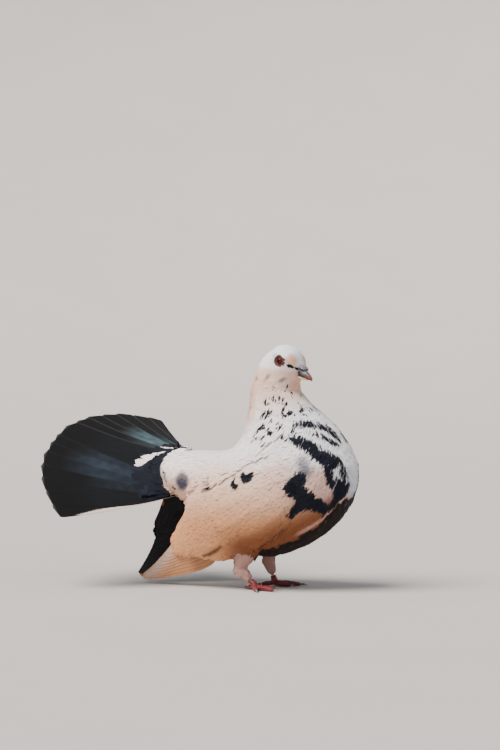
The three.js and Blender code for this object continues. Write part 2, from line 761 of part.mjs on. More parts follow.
for (const [side, sign] of [['right', -1], ['left', 1]]) {
  const colour = sign < 0 ? WHITE_PLUMAGE : BLACK_PLUMAGE;
  const leg = LEGS.find((one) => one.side === side);
  const inside = grownTrunk.add(grownNeck).add(solid(thighForm(leg, CUT)));
  place(`wing_${side}_shoulder`, geometryOf(solid(shoulderPanel(sign)).subtract(inside)), colour());
  place(`wing_${side}_secondaries`, geometryOf(solid(secondariesPanel(sign)).subtract(inside)), colour());
  place(`wing_${side}_primaries`, geometryOf(solid(primariesPanel(sign)).subtract(inside)), colour());
}

for (const leg of LEGS) {
  place(`thigh_${leg.side}`, thighGeometry(leg, grownTrunk), BLACK_PLUMAGE());
  place(`shank_${leg.side}`, shankGeometry(leg, grownTrunk), WHITE_PLUMAGE());
  place(`foot_${leg.side}`, footGeometry(leg), RED_SKIN());
  for (const toe of TOES) {
    place(`claw_${leg.side}_${toe.name}`, clawGeometry(leg, toe), PALE_HORN());
  }
}

pigeon.position.set(-FOOTPRINT_CENTRE.x, -FOOTPRINT_CENTRE.y, 0);

export default pigeon;
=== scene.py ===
"""A pied pigeon at life size: skin, coat of feathers, wings, fanned tail, head and feet."""

import math

import bmesh
import bpy
import numpy as np
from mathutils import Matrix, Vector
from mathutils.bvhtree import BVHTree
from mathutils.kdtree import KDTree


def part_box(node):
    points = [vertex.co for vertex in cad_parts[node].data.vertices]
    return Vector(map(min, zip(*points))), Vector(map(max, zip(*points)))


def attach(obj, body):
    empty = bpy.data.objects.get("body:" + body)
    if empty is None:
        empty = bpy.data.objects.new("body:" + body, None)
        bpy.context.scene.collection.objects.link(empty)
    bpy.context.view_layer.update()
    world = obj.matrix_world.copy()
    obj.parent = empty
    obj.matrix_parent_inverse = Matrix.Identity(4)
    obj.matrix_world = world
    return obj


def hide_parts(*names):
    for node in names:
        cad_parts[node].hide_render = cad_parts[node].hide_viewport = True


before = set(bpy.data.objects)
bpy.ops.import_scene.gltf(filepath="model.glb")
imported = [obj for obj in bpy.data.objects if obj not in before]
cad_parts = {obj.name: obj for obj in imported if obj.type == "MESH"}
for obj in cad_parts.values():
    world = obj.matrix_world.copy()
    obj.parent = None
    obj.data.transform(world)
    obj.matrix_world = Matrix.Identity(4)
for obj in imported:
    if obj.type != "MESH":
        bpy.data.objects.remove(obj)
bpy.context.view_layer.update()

MM = 0.001
PACKED = np.array([-1.0, 1.2, 0.0])  # the part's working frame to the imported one, mm
SIDES = {"right": -1, "left": 1}


def put(name, data):
    """A new object in the scene."""
    thing = bpy.data.objects.new(name, data)
    bpy.context.scene.collection.objects.link(thing)
    return thing


# ---------------------------------------------------------------- camera

VIEW_AZIMUTH = 25.0  # degrees round from the bird's right side
VIEW_ELEVATION = 1.2
VIEW_LENS = 135.0
VIEW_SENSOR = 36.0
VIEW_TALL = 705.0  # mm of height that the frame takes in at the bird
VIEW_RIGHT = 42.4  # mm, where the middle of the frame lies
VIEW_UP = 198.0


def set_camera():
    turn, tip = math.radians(VIEW_AZIMUTH), math.radians(VIEW_ELEVATION)
    back = Vector((math.sin(turn) * math.cos(tip), -math.cos(turn) * math.cos(tip), math.sin(tip)))
    aim = Vector((math.cos(turn) * VIEW_RIGHT, math.sin(turn) * VIEW_RIGHT, VIEW_UP)) * MM
    data = bpy.data.cameras.new("camera")
    data.lens = VIEW_LENS
    data.sensor_width = VIEW_SENSOR
    camera = put("camera", data)
    camera.location = aim + back * (VIEW_TALL / VIEW_SENSOR * VIEW_LENS * MM)
    camera.rotation_mode = "QUATERNION"
    camera.rotation_quaternion = (-back).to_track_quat("-Z", "Y")
    bpy.context.scene.camera = camera


set_camera()


# ---------------------------------------------------------------- colours and nodes


def linear(code):
    """An sRGB hex colour as linear red, green and blue."""
    parts = [int(code[i : i + 2], 16) / 255 for i in (1, 3, 5)]
    return np.array([c / 12.92 if c <= 0.04045 else ((c + 0.055) / 1.055) ** 2.4 for c in parts])


def rgba(code):
    return (*linear(code), 1.0)


def add(tree, kind, inputs=None, **settings):
    """One node with its settings, and its inputs as values or as the sockets that feed them."""
    made = tree.nodes.new(kind)
    for key, value in settings.items():
        setattr(made, key, value)
    for key, value in (inputs or {}).items():
        if isinstance(value, bpy.types.NodeSocket):
            tree.links.new(value, made.inputs[key])
        else:
            made.inputs[key].default_value = value
    return made


def finish(name, roughness, **surface):
    """A material with one shader, whose even values are set on the shader itself."""
    made = bpy.data.materials.new(name)
    made.use_nodes = True
    tree = made.node_tree
    shader = tree.nodes["Principled BSDF"]
    shader.inputs["Roughness"].default_value = roughness
    for key, value in surface.items():
        shader.inputs[key.replace("_", " ")].default_value = value
    return made, tree, shader


def maths_in(tree):
    """A function that adds a maths node to the tree and gives its result."""

    def maths(operation, *values):
        return add(tree, "ShaderNodeMath", dict(enumerate(values)), operation=operation).outputs[0]

    return maths


def ranged(tree, value, low, high, to_low=0.0, to_high=1.0, **settings):
    """A value carried over from one range to another."""
    inputs = {"Value": value, "From Min": low, "From Max": high, "To Min": to_low, "To Max": to_high}
    return add(tree, "ShaderNodeMapRange", inputs, **settings).outputs[0]


def noise(tree, place, scale, detail):
    return add(tree, "ShaderNodeTexNoise", {"Vector": place, "Scale": scale, "Detail": detail}).outputs[0]


def stored(tree, name):
    """What a piece has stored on its points under this name."""
    return add(tree, "ShaderNodeAttribute", attribute_name=name).outputs


def colour_and_bump(tree, shader, colour, shade, height, depth_mm, strength):
    """Gives the shader a shaded colour, and a bump."""
    tinted = add(tree, "ShaderNodeVectorMath", {0: colour, 1: shade}, operation="MULTIPLY")
    tree.links.new(tinted.outputs[0], shader.inputs["Base Color"])
    bump = add(tree, "ShaderNodeBump", {"Height": height, "Distance": depth_mm * MM, "Strength": strength})
    tree.links.new(bump.outputs[0], shader.inputs["Normal"])


BARB_LENGTH = 0.13  # how slowly the barbs change along their run, against across it
MARK_EDGE = (0.24, 0.76)  # the strength at which a mark begins to show, and is full


def feather_finish(name, per_mm, barb_angle, depth, fray):
    """Feather vane: keratin barbs side by side, dull and soft. They leave the shaft at an angle,
    or where `barb_angle` is 0 run along it, and a mark's edge frays along them. The `vane` map is
    in mm across and along the barbs' lie."""
    made, tree, shader = finish(
        name, 0.85, Specular_IOR_Level=0.15, Sheen_Weight=0.03, Sheen_Roughness=0.5
    )
    maths = maths_in(tree)
    mark, own = stored(tree, "mark"), stored(tree, "own_number")["Fac"]
    vane = add(tree, "ShaderNodeUVMap", uv_map="vane").outputs[0]
    flat = add(tree, "ShaderNodeSeparateXYZ", {0: vane}).outputs
    away = maths("ABSOLUTE", flat[0]) if barb_angle else flat[0]
    c, s = math.cos(math.radians(barb_angle)), math.sin(math.radians(barb_angle))
    over = maths("MULTIPLY_ADD", flat[1], s * per_mm, maths("MULTIPLY", away, -c * per_mm))
    across = maths("MULTIPLY", away, BARB_LENGTH * s * per_mm)
    along = maths("MULTIPLY_ADD", flat[1], BARB_LENGTH * c * per_mm, across)
    apart = maths("MULTIPLY", own, 40.0 if barb_angle else 0.5)
    place = add(tree, "ShaderNodeCombineXYZ", {0: over, 1: along, 2: apart}).outputs[0]
    barbs = noise(tree, place, 1.0, 2.0)
    uneven = maths("MULTIPLY_ADD", maths("SUBTRACT", own, 0.5), 0.3, mark["Alpha"])
    sway = maths("MULTIPLY", fray, maths("MINIMUM", 1.0, maths("MULTIPLY", mark["Alpha"], 6.0)))
    frayed = maths("MULTIPLY_ADD", maths("SUBTRACT", barbs, 0.5), sway, uneven)
    edge = ranged(tree, frayed, *MARK_EDGE, interpolation_type="SMOOTHSTEP")
    colours = {0: edge, 6: stored(tree, "plumage")["Color"], 7: mark["Color"]}
    marked = add(tree, "ShaderNodeMix", colours, data_type="RGBA").outputs[2]
    shade = ranged(tree, barbs, 0.3, 0.7, 0.88, 1.07)
    colour_and_bump(tree, shader, marked, shade, barbs, depth, 0.6)
    return made


# Body feathers: long loose barbs that lie along the coat, coarser here than real ones, which
# are too fine to show. They run on from feather to feather, so marks end in long streaks.
COAT = feather_finish("contour feathers", per_mm=0.8, barb_angle=0.0, depth=0.12, fray=2.3)
# Wing and tail feathers: close barbs at a wider angle, also drawn coarser than real ones.
FLIGHT = feather_finish("flight feathers", per_mm=1.5, barb_angle=36.0, depth=0.08, fray=1.0)


def toned(name, roughness, bump_mm, grain, **surface):
    """A finish whose colour is painted on the piece, with a fine grain of its own."""
    made, tree, shader = finish(name, roughness, **surface)
    cloud = noise(tree, add(tree, "ShaderNodeTexCoord").outputs["Object"], 1000.0 / grain, 4.0)
    height = maths_in(tree)("ADD", cloud, stored(tree, "relief")["Fac"])
    shade = ranged(tree, cloud, 0.25, 0.75, 0.82, 1.12)
    colour_and_bump(tree, shader, stored(tree, "plumage")["Color"], shade, height, bump_mm, 0.8)
    return made


# Skin with down over it, seen in chinks between feathers and behind the rump: dull and soft.
DOWN = toned("downy skin", 0.9, bump_mm=0.3, grain=3.0)
# Horn of the bill and claws: keratin with a low gloss and fine growth lines.
HORN = toned("bill horn", 0.34, bump_mm=0.05, grain=1.2)
# The cere and the ring round the eye: bare skin, powdery, with fine warts and folds.
BARE = toned("bare skin", 0.55, bump_mm=0.12, grain=0.5)
# Feet: red skin under plates of scale, with a slight gloss on each plate.
SCALY = toned("scaly foot skin", 0.48, bump_mm=0.22, grain=0.9)
# Eye: a wet clear cornea over iris and pupil, so a sharp small highlight.
WET = toned(
    "wet eye", 0.3, bump_mm=0.0, grain=0.6, Coat_Weight=0.08, Coat_Roughness=0.03, Specular_IOR_Level=0.12
)


# ---------------------------------------------------------------- small tools


def unit(vectors):
    return vectors / np.maximum(np.linalg.norm(vectors, axis=-1, keepdims=True), 1e-9)


def soft(value, low, high):
    """0 below low, 1 above high, smooth between."""
    t = np.clip((value - low) / (high - low), 0, 1)
    return t * t * (3 - 2 * t)


def blend(colour, other, share):
    """The colour, with another one taking a share of it at each point."""
    share = share[:, None]
    return colour * (1 - share) + other * share


RIPPLE_WAVES = 8


def ripple(points, size, seed):
    """A soft random field from about -1 to 1, with swells about `size` mm across."""
    rng = np.random.default_rng(seed)
    total = np.zeros(len(points))
    for _ in range(RIPPLE_WAVES):
        way = unit(rng.normal(size=3)) * (2 * math.pi / size) * rng.uniform(0.6, 1.5)
        total += np.sin(points @ way + rng.uniform(0, 2 * math.pi))
    return total / 4


def read(items, key, width=1, kind=np.float32):
    """One property of every item, in rows of `width` numbers."""
    flat = np.empty(len(items) * width, kind)
    items.foreach_get(key, flat)
    return flat.reshape(-1, width) if width > 1 else flat


STORED_AS = {1: ("FLOAT", "value"), 3: ("FLOAT_VECTOR", "vector"), 4: ("FLOAT_COLOR", "color")}


def store(mesh, key, values):
    """Writes a number, a vector, or a colour with its strength, on each point of a mesh."""
    kind, field = STORED_AS[values.shape[1] if values.ndim > 1 else 1]
    layer = mesh.attributes.new(key, kind, "POINT")
    layer.data.foreach_set(field, values.astype(np.float32).ravel())


def points_of(mesh):
    """A mesh's vertices in mm."""
    return read(mesh.vertices, "co", 3).astype(float) / MM


def normals_of(mesh):
    return read(mesh.vertices, "normal", 3).astype(float)


def move_points(mesh, points):
    mesh.vertices.foreach_set("co", (points * MM).astype(np.float32).ravel())
    mesh.update()


def paint(mesh, colours, relief=None):
    """Writes the piece's own colours, and its relief for the bump, on its vertices."""
    store(mesh, "plumage", np.c_[colours, np.ones(len(colours))])
    if relief is not None:
        store(mesh, "relief", relief)


def mark_up(mesh, ink, strength, own_number):
    """Writes a feather piece's marks: their colour and strength, and each feather's number."""
    store(mesh, "mark", np.c_[ink, strength])
    store(mesh, "own_number", own_number)


def tree_of(mesh, points=None):
    """A search tree of a mesh's faces, in mm."""
    corners = [v.co / MM for v in mesh.vertices] if points is None else [Vector(p) for p in points]
    return BVHTree.FromPolygons(corners, [list(face.vertices) for face in mesh.polygons])


def tree_of_points(points):
    """A search tree of single points, which gives their numbers."""
    tree = KDTree(len(points))
    for number, point in enumerate(points):
        tree.insert(point, number)
    tree.balance()
    return tree


def show(mesh, name, material, slot, replaced=()):
    """Puts a finished mesh in the scene as a piece of the bird."""
    mesh.name = name
    mesh.materials.clear()
    mesh.materials.append(material)
    mesh.shade_smooth()
    piece = put(name, mesh)
    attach(piece, "root")
    if replaced:
        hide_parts(*replaced)


def face_outwards(mesh):
    shape = bmesh.new()
    shape.from_mesh(mesh)
    bmesh.ops.recalc_face_normals(shape, faces=shape.faces)
    shape.to_mesh(mesh)
    shape.free()


def merged(names):
    """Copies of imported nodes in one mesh, with their loose triangles joined up."""
    shape = bmesh.new()
    for name in names:
        shape.from_mesh(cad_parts[name].data)
    bmesh.ops.remove_doubles(shape, verts=shape.verts, dist=0.01 * MM)
    mesh = bpy.data.meshes.new("merged")
    shape.to_mesh(mesh)
    shape.free()
    return mesh


def evaluated(thing):
    """The mesh that an object's modifiers make, as a plain mesh. The object is removed."""
    graph = bpy.context.evaluated_depsgraph_get()
    mesh = bpy.data.meshes.new_from_object(
        thing.evaluated_get(graph), preserve_all_data_layers=True, depsgraph=graph
    )
    bpy.data.objects.remove(thing)
    return mesh


def soften(thing, rounds):
    smooth = thing.modifiers.new("soften", "SMOOTH")
    smooth.factor = 0.5
    smooth.iterations = rounds


def grown(mesh, voxel, rounds):
    """The mesh as one even, softened surface of small faces, about `voxel` mm across."""
    thing = put("grown", mesh)
    even = thing.modifiers.new("even", "REMESH")
    even.mode = "VOXEL"
    even.voxel_size = voxel * MM
    soften(thing, rounds)
    return evaluated(thing)


def keep_outer(mesh):
    """Keeps the largest connected shell, and drops what the evening left inside it."""
    shape = bmesh.new()
    shape.from_mesh(mesh)
    seen, shells = set(), []
    for vert in shape.verts:
        if vert in seen:
            continue
        shell, front = [], [vert]
        seen.add(vert)
        while front:
            one = front.pop()
            shell.append(one)
            for edge in one.link_edges:
                other = edge.other_vert(one)
                if other not in seen:
                    seen.add(other)
                    front.append(other)
        shells.append(shell)
    shells.sort(key=len)
    for shell in shells[:-1]:
        bmesh.ops.delete(shape, geom=shell, context="VERTS")
    shape.to_mesh(mesh)
    shape.free()
    return mesh


# ---------------------------------------------------------------- skin

FLESH = [
    "head",
    "neck",
    "trunk",
    "tail_coverts_upper",
    "tail_coverts_under",
    *(f"{part}_{side}" for part in ("thigh", "shank") for side in SIDES),
    *(f"wing_{side}_shoulder" for side in SIDES),
]
# Stiff panels that the coat's last rows lie over: they take no part in the skin itself.
PANELS = ["tail", *(f"wing_{side}_secondaries" for side in SIDES)]
# How deep the skin lies under the bird's outline, in mm: the coat takes up the rest.
COAT_DEPTH = {
    "head": 1.1,
    "neck": 2.2,
    "trunk": 3.0,
    "tail_coverts_upper": 2.2,
    "tail_coverts_under": 2.2,
    "thigh": 2.6,
    "shank": 1.1,
    "wing": 2.2,
}
PANEL_DEPTH = 0.6  # mm, the same for the stiff panels
SKIN_VOXEL, LAY_VOXEL = 1.7, 1.25  # mm
THIN_SHARE = 0.32  # most of a thin part's thickness that the coat may take up


def kind_of(node):
    return "wing" if node.startswith("wing") else node.split("_right")[0].split("_left")[0]


def node_finder(names):
    """For points in mm: the index in `names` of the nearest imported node."""
    verts, faces, owner = [], [], []
    for index, name in enumerate(names):
        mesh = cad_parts[name].data
        first = len(verts)
        verts += [v.co / MM for v in mesh.vertices]
        for face in mesh.polygons:
            faces.append([first + v for v in face.vertices])
            owner.append(index)
    tree = BVHTree.FromPolygons(verts, faces)

    def find(points):
        return np.array([owner[tree.find_nearest(Vector(p))[2]] for p in points])

    return find


def sunk_form(names, voxel):
    """The nodes as one soft surface, sunk under the bird's outline by the depth of the coat."""
    whole = merged(names + [f"{part}_{side}" for part in ("eye", "eyelid") for side in SIDES])
    mesh = keep_outer(grown(whole, voxel, 6))
    points, normals = points_of(mesh), normals_of(mesh)
    sink = [PANEL_DEPTH if name in PANELS else COAT_DEPTH[kind_of(name)] for name in names]
    depth = np.array(sink)[node_finder(names)(points)]
    tree = tree_of(mesh, points)
    for i, (point, normal) in enumerate(zip(points, normals)):
        start = Vector(point) - Vector(normal) * 0.05
        hit = tree.ray_cast(start, -Vector(normal), 40.0)
        if hit[0] is not None:
            depth[i] = min(depth[i], THIN_SHARE * hit[3])
    move_points(mesh, points - normals * depth[:, None])
    thing = put("sunk", mesh)
    soften(thing, 5)
    return evaluated(thing)


nearest_flesh = node_finder(FLESH)
skin_mesh = sunk_form(FLESH, SKIN_VOXEL)
skin_points, skin_normals = points_of(skin_mesh), normals_of(skin_mesh)
skin_part = nearest_flesh(skin_points)
FLESH_KINDS = np.array([kind_of(name) for name in FLESH])

# The form that the feathers are laid on: the skin, carried on over the stiff panels.
lay_mesh = sunk_form(FLESH + PANELS, LAY_VOXEL)
store(lay_mesh, "skin_up", normals_of(lay_mesh))
lay_form = put("lay_form", lay_mesh)


# ---------------------------------------------------------------- lie of the feathers

BILL_ROOT = np.array([105.0, -9.0, 201.0])
TAIL_ROOT = np.array([-8.0, 0.0, 107.0]) + PACKED
NECK_WAY = np.array([-0.1, 0.0, -1.0])
BODY_WAY = np.array([-1.0, 0.0, -0.42])
WING_WAY = np.array([-0.8, 0.0, -0.6])
THIGH_WAY = np.array([-0.35, 0.0, -1.0])
SHANK_WAY = np.array([0.3, 0.0, -1.0])


def way_of(points, part):
    """The way the coat is combed: back from the bill, down the neck, and on to the tail."""
    x, z = points[:, 0], points[:, 2]
    from_tail = unit(points - TAIL_ROOT)
    way = np.repeat(NECK_WAY[None], len(points), 0)
    body = soft(-z, -150.0, -92.0) * 0.55 + soft(150.0 - x, 0.0, 70.0) * 0.45
    way = blend(way, BODY_WAY, body * soft(-z, -172.0, -130.0))
    way = blend(way, unit(points - BILL_ROOT) + [-0.35, 0, -0.1], soft(z, 184.0, 200.0))
    way = blend(way, from_tail, soft(-x, 5.0, 40.0))
    names = FLESH_KINDS[part]
    for kind, own in (("wing", WING_WAY), ("thigh", THIGH_WAY), ("shank", SHANK_WAY)):
        way[names == kind] = own
    fan = (names == "tail_coverts_upper") | (names == "tail_coverts_under")
    way[fan] = (from_tail * [1, 1, 0.5])[fan]
    return unit(way)


def lie_of(points, normals, part):
    """The combed way, laid along the skin."""
    way = way_of(points, part)
    flat = way - (way * normals).sum(1, keepdims=True) * normals
    lost = np.linalg.norm(flat, axis=1) < 0.05
    flat[lost] = np.cross(normals[lost], [0.0, 1.0, 0.0])
    return unit(flat)


# ---------------------------------------------------------------- fan of the tail

TAIL_HALF_SPREAD = 48.5  # degrees
TAIL_LENGTH = 149.5  # mm, from the tail's root to the tips
TAIL_START = 12.0  # mm, where the vanes begin
# How the fan is raised, rolled to one side and arched: as slopes, and at its root in mm.
TAIL_RAISE, TAIL_ROLL, TAIL_ARCH = 0.25, 0.259, 0.605
TAIL_ROOT_ROLL, TAIL_ROOT_ARCH = 19.0, 8.0
TAIL_SAG = 3.5  # mm, half way out


def tail_direction(angle):
    slope = TAIL_RAISE + TAIL_ROLL * np.sin(angle) - TAIL_ARCH * (1 - np.cos(angle))
    return unit(np.stack([-np.cos(angle), np.sin(angle), slope], -1))


def tail_point(angle, reach):
    """A place on the fan, and the fan's upward normal there."""
    along = tail_direction(angle)
    beside = tail_direction(angle + 0.01) - tail_direction(angle - 0.01)
    up = unit(np.cross(beside, along))
    up = np.where(up[..., 2:] < 0, -up, up)
    lifted = TAIL_ROOT_ROLL * np.sin(angle) - TAIL_ROOT_ARCH * (1 - np.cos(angle))
    root = TAIL_ROOT + np.stack([0 * lifted, 0 * lifted, lifted], -1)
    share = reach / TAIL_LENGTH
    return root + along * reach[..., None] - up * (TAIL_SAG * 4 * share * (1 - share))[..., None], up


# ---------------------------------------------------------------- markings, and light and shade painted into the plumage

# Plumage colours. Four of them are light and shade painted into the colour: the brightest white stands for
# light falling from above, the cool grey-blue for shade on the front, the warm tan for light bounced up
# from below, and the deep brown for shade low on the flanks, in creases and along the wing feathers' edges.
LIT_WHITE = linear("#f4f3f6")
COOL_SHADE = linear("#c8cfdc")
CREAM = linear("#ecd5c6")
WARM_BOUNCE = linear("#cb9269")
DEEP_SHADE = linear("#7b4a30")
PEACH = linear("#dcae93")
PINKISH = linear("#cfa596")
# pinkish white of the leg feathers, made darker as painted shade under the body
LEG_PINK_SHADED = linear("#b18a82")
SLATE = linear("#3f4250")
INK = linear("#121620")
SOOT = linear("#1c1614")

# Dark bars of the breast's right side: the points each runs through, with its half width
# there, in mm.
BREAST_BARS = {
    "collar": [(106, -15, 168, 1.8), (112, -5, 166, 2.6), (116, 6, 164, 2.0)],
    "upper bar": [
        (106, -30, 154, 2.6),
        (113, -25, 153, 3.8),
        (123, -18, 153, 4.6),
        (129, -12, 150, 4.8),
        (135, -8, 144, 4.2),
        (139, -6, 139, 3.2),
    ],
    "second bar": [
        (118, -27, 146, 2.0),
        (125, -23, 144, 2.4),
        (131, -20, 140, 3.0),
        (137, -15, 137, 3.6),
        (141, -11, 134, 3.2),
    ],
    "broad bar": [
        (105, -36, 140, 3.6),
        (113, -35, 138, 5.2),
        (121, -33, 134, 6.4),
        (129, -31, 127, 7.4),
        (136, -27, 123, 7.8),
        (143, -22, 120, 7.0),
    ],
    "inner prong": [(137, -28, 119, 5.4), (139, -28, 110, 4.8), (142, -26, 100, 4.6)],
    "outer prong": [(146, -18, 119, 4.8), (148.5, -16, 111, 4.8), (150, -14, 101, 4.8)],
    "front mass": [(147, -17, 95, 8.6), (146, -15, 86, 9.0), (141, -16, 77, 8.6), (135, -18, 70, 7.2)],
    "ring": [(133, -27, 77, 6.4), (127, -33, 82, 6.8), (121, -38, 87, 7.2), (116, -41, 92, 7.0)],
    "side lobe": [(116, -41, 92, 6.4), (110, -43, 98, 7.0), (117, -41, 106, 6.0)],
    "low lobe": [(121, -38, 84, 6.0), (114, -39, 79, 5.6), (108, -40, 73, 4.2)],
}
# How solid each bar is: the upper ones are broken by the white of the feathers between.
SOLID_BAR = 1.3
BAR_STRENGTH = {
    "collar": 0.75,
    "upper bar": 0.95,
    "second bar": 0.9,
    "broad bar": 1.08,
    "inner prong": 1.12,
    "outer prong": 0.88,
}
GREY_CLOUD = [(120, -40, 113, 6.4), (117, -39, 121, 4.4)]
# The middles that the marks of the breast, the shoulder and the head are laid round, so that a
# mark keeps its size from the skin out to the feathers' tips.
BREAST_MIDDLE = np.array([95.0, 0.0, 110.0])
SHOULDER_MIDDLE = np.array([74.0, 0.0, 118.0])
FACE_MIDDLE = np.array([15.0, 0.0, 204.0])
# Marks of the head's right side, in the head's own frame from the upright line it turns about.
LORAL_LINE = [(28.2, -11.5, 207.6, 1.5), (31.0, -9.0, 206.4, 1.3), (38.5, -4.4, 203.8, 1.7)]
CHEEK_SMUDGE = [(19.0, -13.3, 193.2, 1.2), (23.4, -11.6, 195.4, 1.1)]
NAPE_SMUDGE = [(-6.5, -18.0, 194.5, 0.9), (-5.5, -18.0, 196.5, 0.9)]
EAR_SMUDGE = [(7.2, -17.4, 196.5, 1.1), (8.2, -17.4, 198.5, 1.0)]
# Where the face is flushed: middle, and share of the flush.
FACE_FLUSHES = [((29.7, -9.6, 212.0), 1.0), ((28.4, -1.0, 189.5), 0.85)]
FACE_FLUSH_RADIUS = 7.5
HEAD_AXIS = np.array([72.0, 0.0, 0.0]) + PACKED
HEAD_TURN = math.radians(-17.0)
# Rows of flecks round the neck: height, size against the common fleck, and spacing, in mm.
FLECK_ROWS = [
    (189.0, 0.75, 11.0),
    (179.5, 1.0, 7.0),
    (172.5, 0.7, 10.0),
    (166.5, 1.25, 7.5),
    (160.0, 0.8, 10.0),
    (154.0, 1.1, 8.0),
    (147.0, 1.05, 8.5),
    (139.0, 0.9, 15.0),
]
FLECK_LONG = 3.3  # mm, half the length of a common fleck
FLECK_WIDE = 0.78
FLECK_STEP = 1.9  # mm between the flecks of one cluster, side by side

# Grey spots over the rump's right side: place in x and height, radius, and how strong.
RUMP_SPOTS = [(-7.6, 99.6, 9.6, 1.0), (-31.0, 101.5, 5.0, 0.7)]
# Tail coverts that are white among the black, and black among the white: degrees round the
# tail's root, distance from it in mm, and half width.
WHITE_COVERTS = [[(11, 44, 3.0), (5, 52, 6.0), (-6, 60, 6.0)], [(31, 27, 2.8), (25, 58, 1.8)]]
COVERT_BLACK_FROM = (33.0, 36.5)  # mm from the tail's root
COVERT_SOLID = 1.6  # strength of that black
BLACK_COVERTS = [[(25, 29, 2.2), (17, 36, 3.4), (9, 40, 3.0), (2, 42, 2.4)]]
# Dark ends of a few scapulars on the right shoulder; the last bar is painted shade in the slit
# under the scapulars' lower edge.
SCAPULAR_SPOTS_AND_SHADE = [
    [(62.6, -50, 108.4, 2.3), (64.2, -50, 104.8, 3.0), (68.6, -50, 105.0, 3.0), (71.4, -50, 109.2, 2.1)],
    [(53.4, -51, 104.4, 1.2), (52.8, -51, 99.6, 2.1), (56.0, -51, 96.4, 2.1)],
    [(22.5, -46, 93.4, 1.6), (30.0, -46, 96.2, 1.5)],
]
# Painted shade along the crease between the mantle and the side of the breast: points and half widths, mm.
FOLD_SHADE_LINE = [(86, -39, 138, 0.8), (79, -40, 131, 0.9), (72, -41, 124, 0.6)]
# Painted shade in the notch where the secondaries end over the primaries.
NOTCH_SHADE_LINE = [(15, 0, 31.0, 0.7), (22, 0, 32.5, 1.3), (30, 0, 36.5, 1.3), (37, 0, 41.5, 0.6)]
# Height of the dark underside's edge along the body: places in x and heights, mm.
BELLY_EDGE = ([-40, 30, 70, 84, 103, 117, 128, 140, 150], [26, 32, 38, 43, 50, 58, 65, 77, 88])


def from_line(points, start, end):
    """How far along a straight line each point lies, from 0 to 1, and how it lies off it."""
    a, b = np.array(start, float), np.array(end, float)
    along = np.clip((points - a) @ (b - a) / ((b - a) @ (b - a)), 0, 1)
    return along, points - (a + along[:, None] * (b - a))


def inside_bar(points, bar, middle=None):
    """How far inside a bar of changing width each point lies, seen from a middle inside the
    body where one is given, in mm: below 0 outside the bar."""
    best = np.full(len(points), -1e9)
    place = points
    rays = unit(points - middle) if middle is not None else None
    for start, end in zip(bar, bar[1:]):
        if middle is not None:
            out = sum(np.linalg.norm(np.array(point[:3], float) - middle) for point in (start, end))
            place = middle + rays * out / 2
        along, off = from_line(place, start[:3], end[:3])
        half = start[3] + (end[3] - start[3]) * along
        best = np.maximum(best, half - np.linalg.norm(off, axis=1))
    return best


def head_frame(points):
    """Points in the head's own frame, both its sides folded on to the right one."""
    off = points - HEAD_AXIS
    c, s = math.cos(-HEAD_TURN), math.sin(-HEAD_TURN)
    return np.c_[off[:, 0] * c - off[:, 1] * s, -np.abs(off[:, 0] * s + off[:, 1] * c), points[:, 2]]


def belly_edge(points):
    return np.interp(points[:, 0], *BELLY_EDGE)


def belly(points):
    """How dark the underside is: black from under the breast to the vent."""
    edge = belly_edge(points) - 13.0 * soft(np.abs(points[:, 1]), 17.0, 40.0)
    return soft(edge - points[:, 2] + 2.2 * ripple(points, 9.0, 5), -3.5, 4.0)


def make_flecks(seed):
    """Where the neck's flecks sit: broken rows round its front and both sides."""
    rng = np.random.default_rng(seed)
    tree = tree_of(skin_mesh, skin_points)
    centres, normals, sizes = [], [], []
    for height, size, spacing in FLECK_ROWS:
        for side in SIDES.values():
            turn = rng.uniform(4.0, 12.0)
            while turn < 112.0:
                angle = math.radians(turn)
                way = Vector((math.cos(angle), side * math.sin(angle), 0.0))
                rise = rng.normal(0, 1.7) - 6.0 * float(soft(angle, 1.1, 1.9))
                spot, normal, _, reach = tree.ray_cast(Vector((82.0, 1.2, height + rise)), way)
                if spot is None:
                    break
                fade = 0.55 + 0.45 * float(soft(angle, 0.3, 0.9))
                if angle > (0.75 if height < 158.0 else 0.0) + (0.85 if height > 184.0 else 0.0):
                    beside = np.cross(np.array(normal), [0.0, 0.0, 1.0])
                    for step in range(rng.integers(2, 5)):
                        off = beside * (FLECK_STEP * step) + [0.0, 0.0, rng.normal(0, 1.6)]
                        centres.append(np.array(spot) + off)
                        normals.append(np.array(normal))
                        sizes.append(size * fade * rng.uniform(0.6, 1.25))
                turn += math.degrees(spacing * rng.uniform(0.55, 1.5) / reach)
    centres, normals = np.array(centres), np.array(normals)
    return centres, normals, lie_of(centres, normals, nearest_flesh(centres)), np.array(sizes)


FLECKS = make_flecks(11)


def covert_dark(points):
    """Black of the tail coverts: white near the rump, black beyond, with a few white ones."""
    off = points - TAIL_ROOT
    reach = np.linalg.norm(off, axis=1)
    flat = np.c_[np.arctan2(off[:, 1], -off[:, 0]) * reach, reach, 0 * reach]
    dark = soft(reach + 1.2 * ripple(points, 14.0, 41), *COVERT_BLACK_FROM) * COVERT_SOLID
    for bars, share in ((WHITE_COVERTS, 0.0), (BLACK_COVERTS, COVERT_SOLID)):
        for bar in bars:
            placed = [(math.radians(angle) * out, out, 0.0, half) for angle, out, half in bar]
            inside = soft(inside_bar(flat, placed), -0.9, 0.9)
            dark = dark * (1 - inside) + share * inside
    return dark


def rim_light_line(points, up, half, start):
    """A thin line of painted rim light on the right side, just over the dark underside's edge, from
    x = start forwards.
    """
    off = (points[:, 2] - belly_edge(points) - up) / half
    return np.exp(-(off**2)) * soft(points[:, 0], start, start + 16.0) * (points[:, 1] < 0)


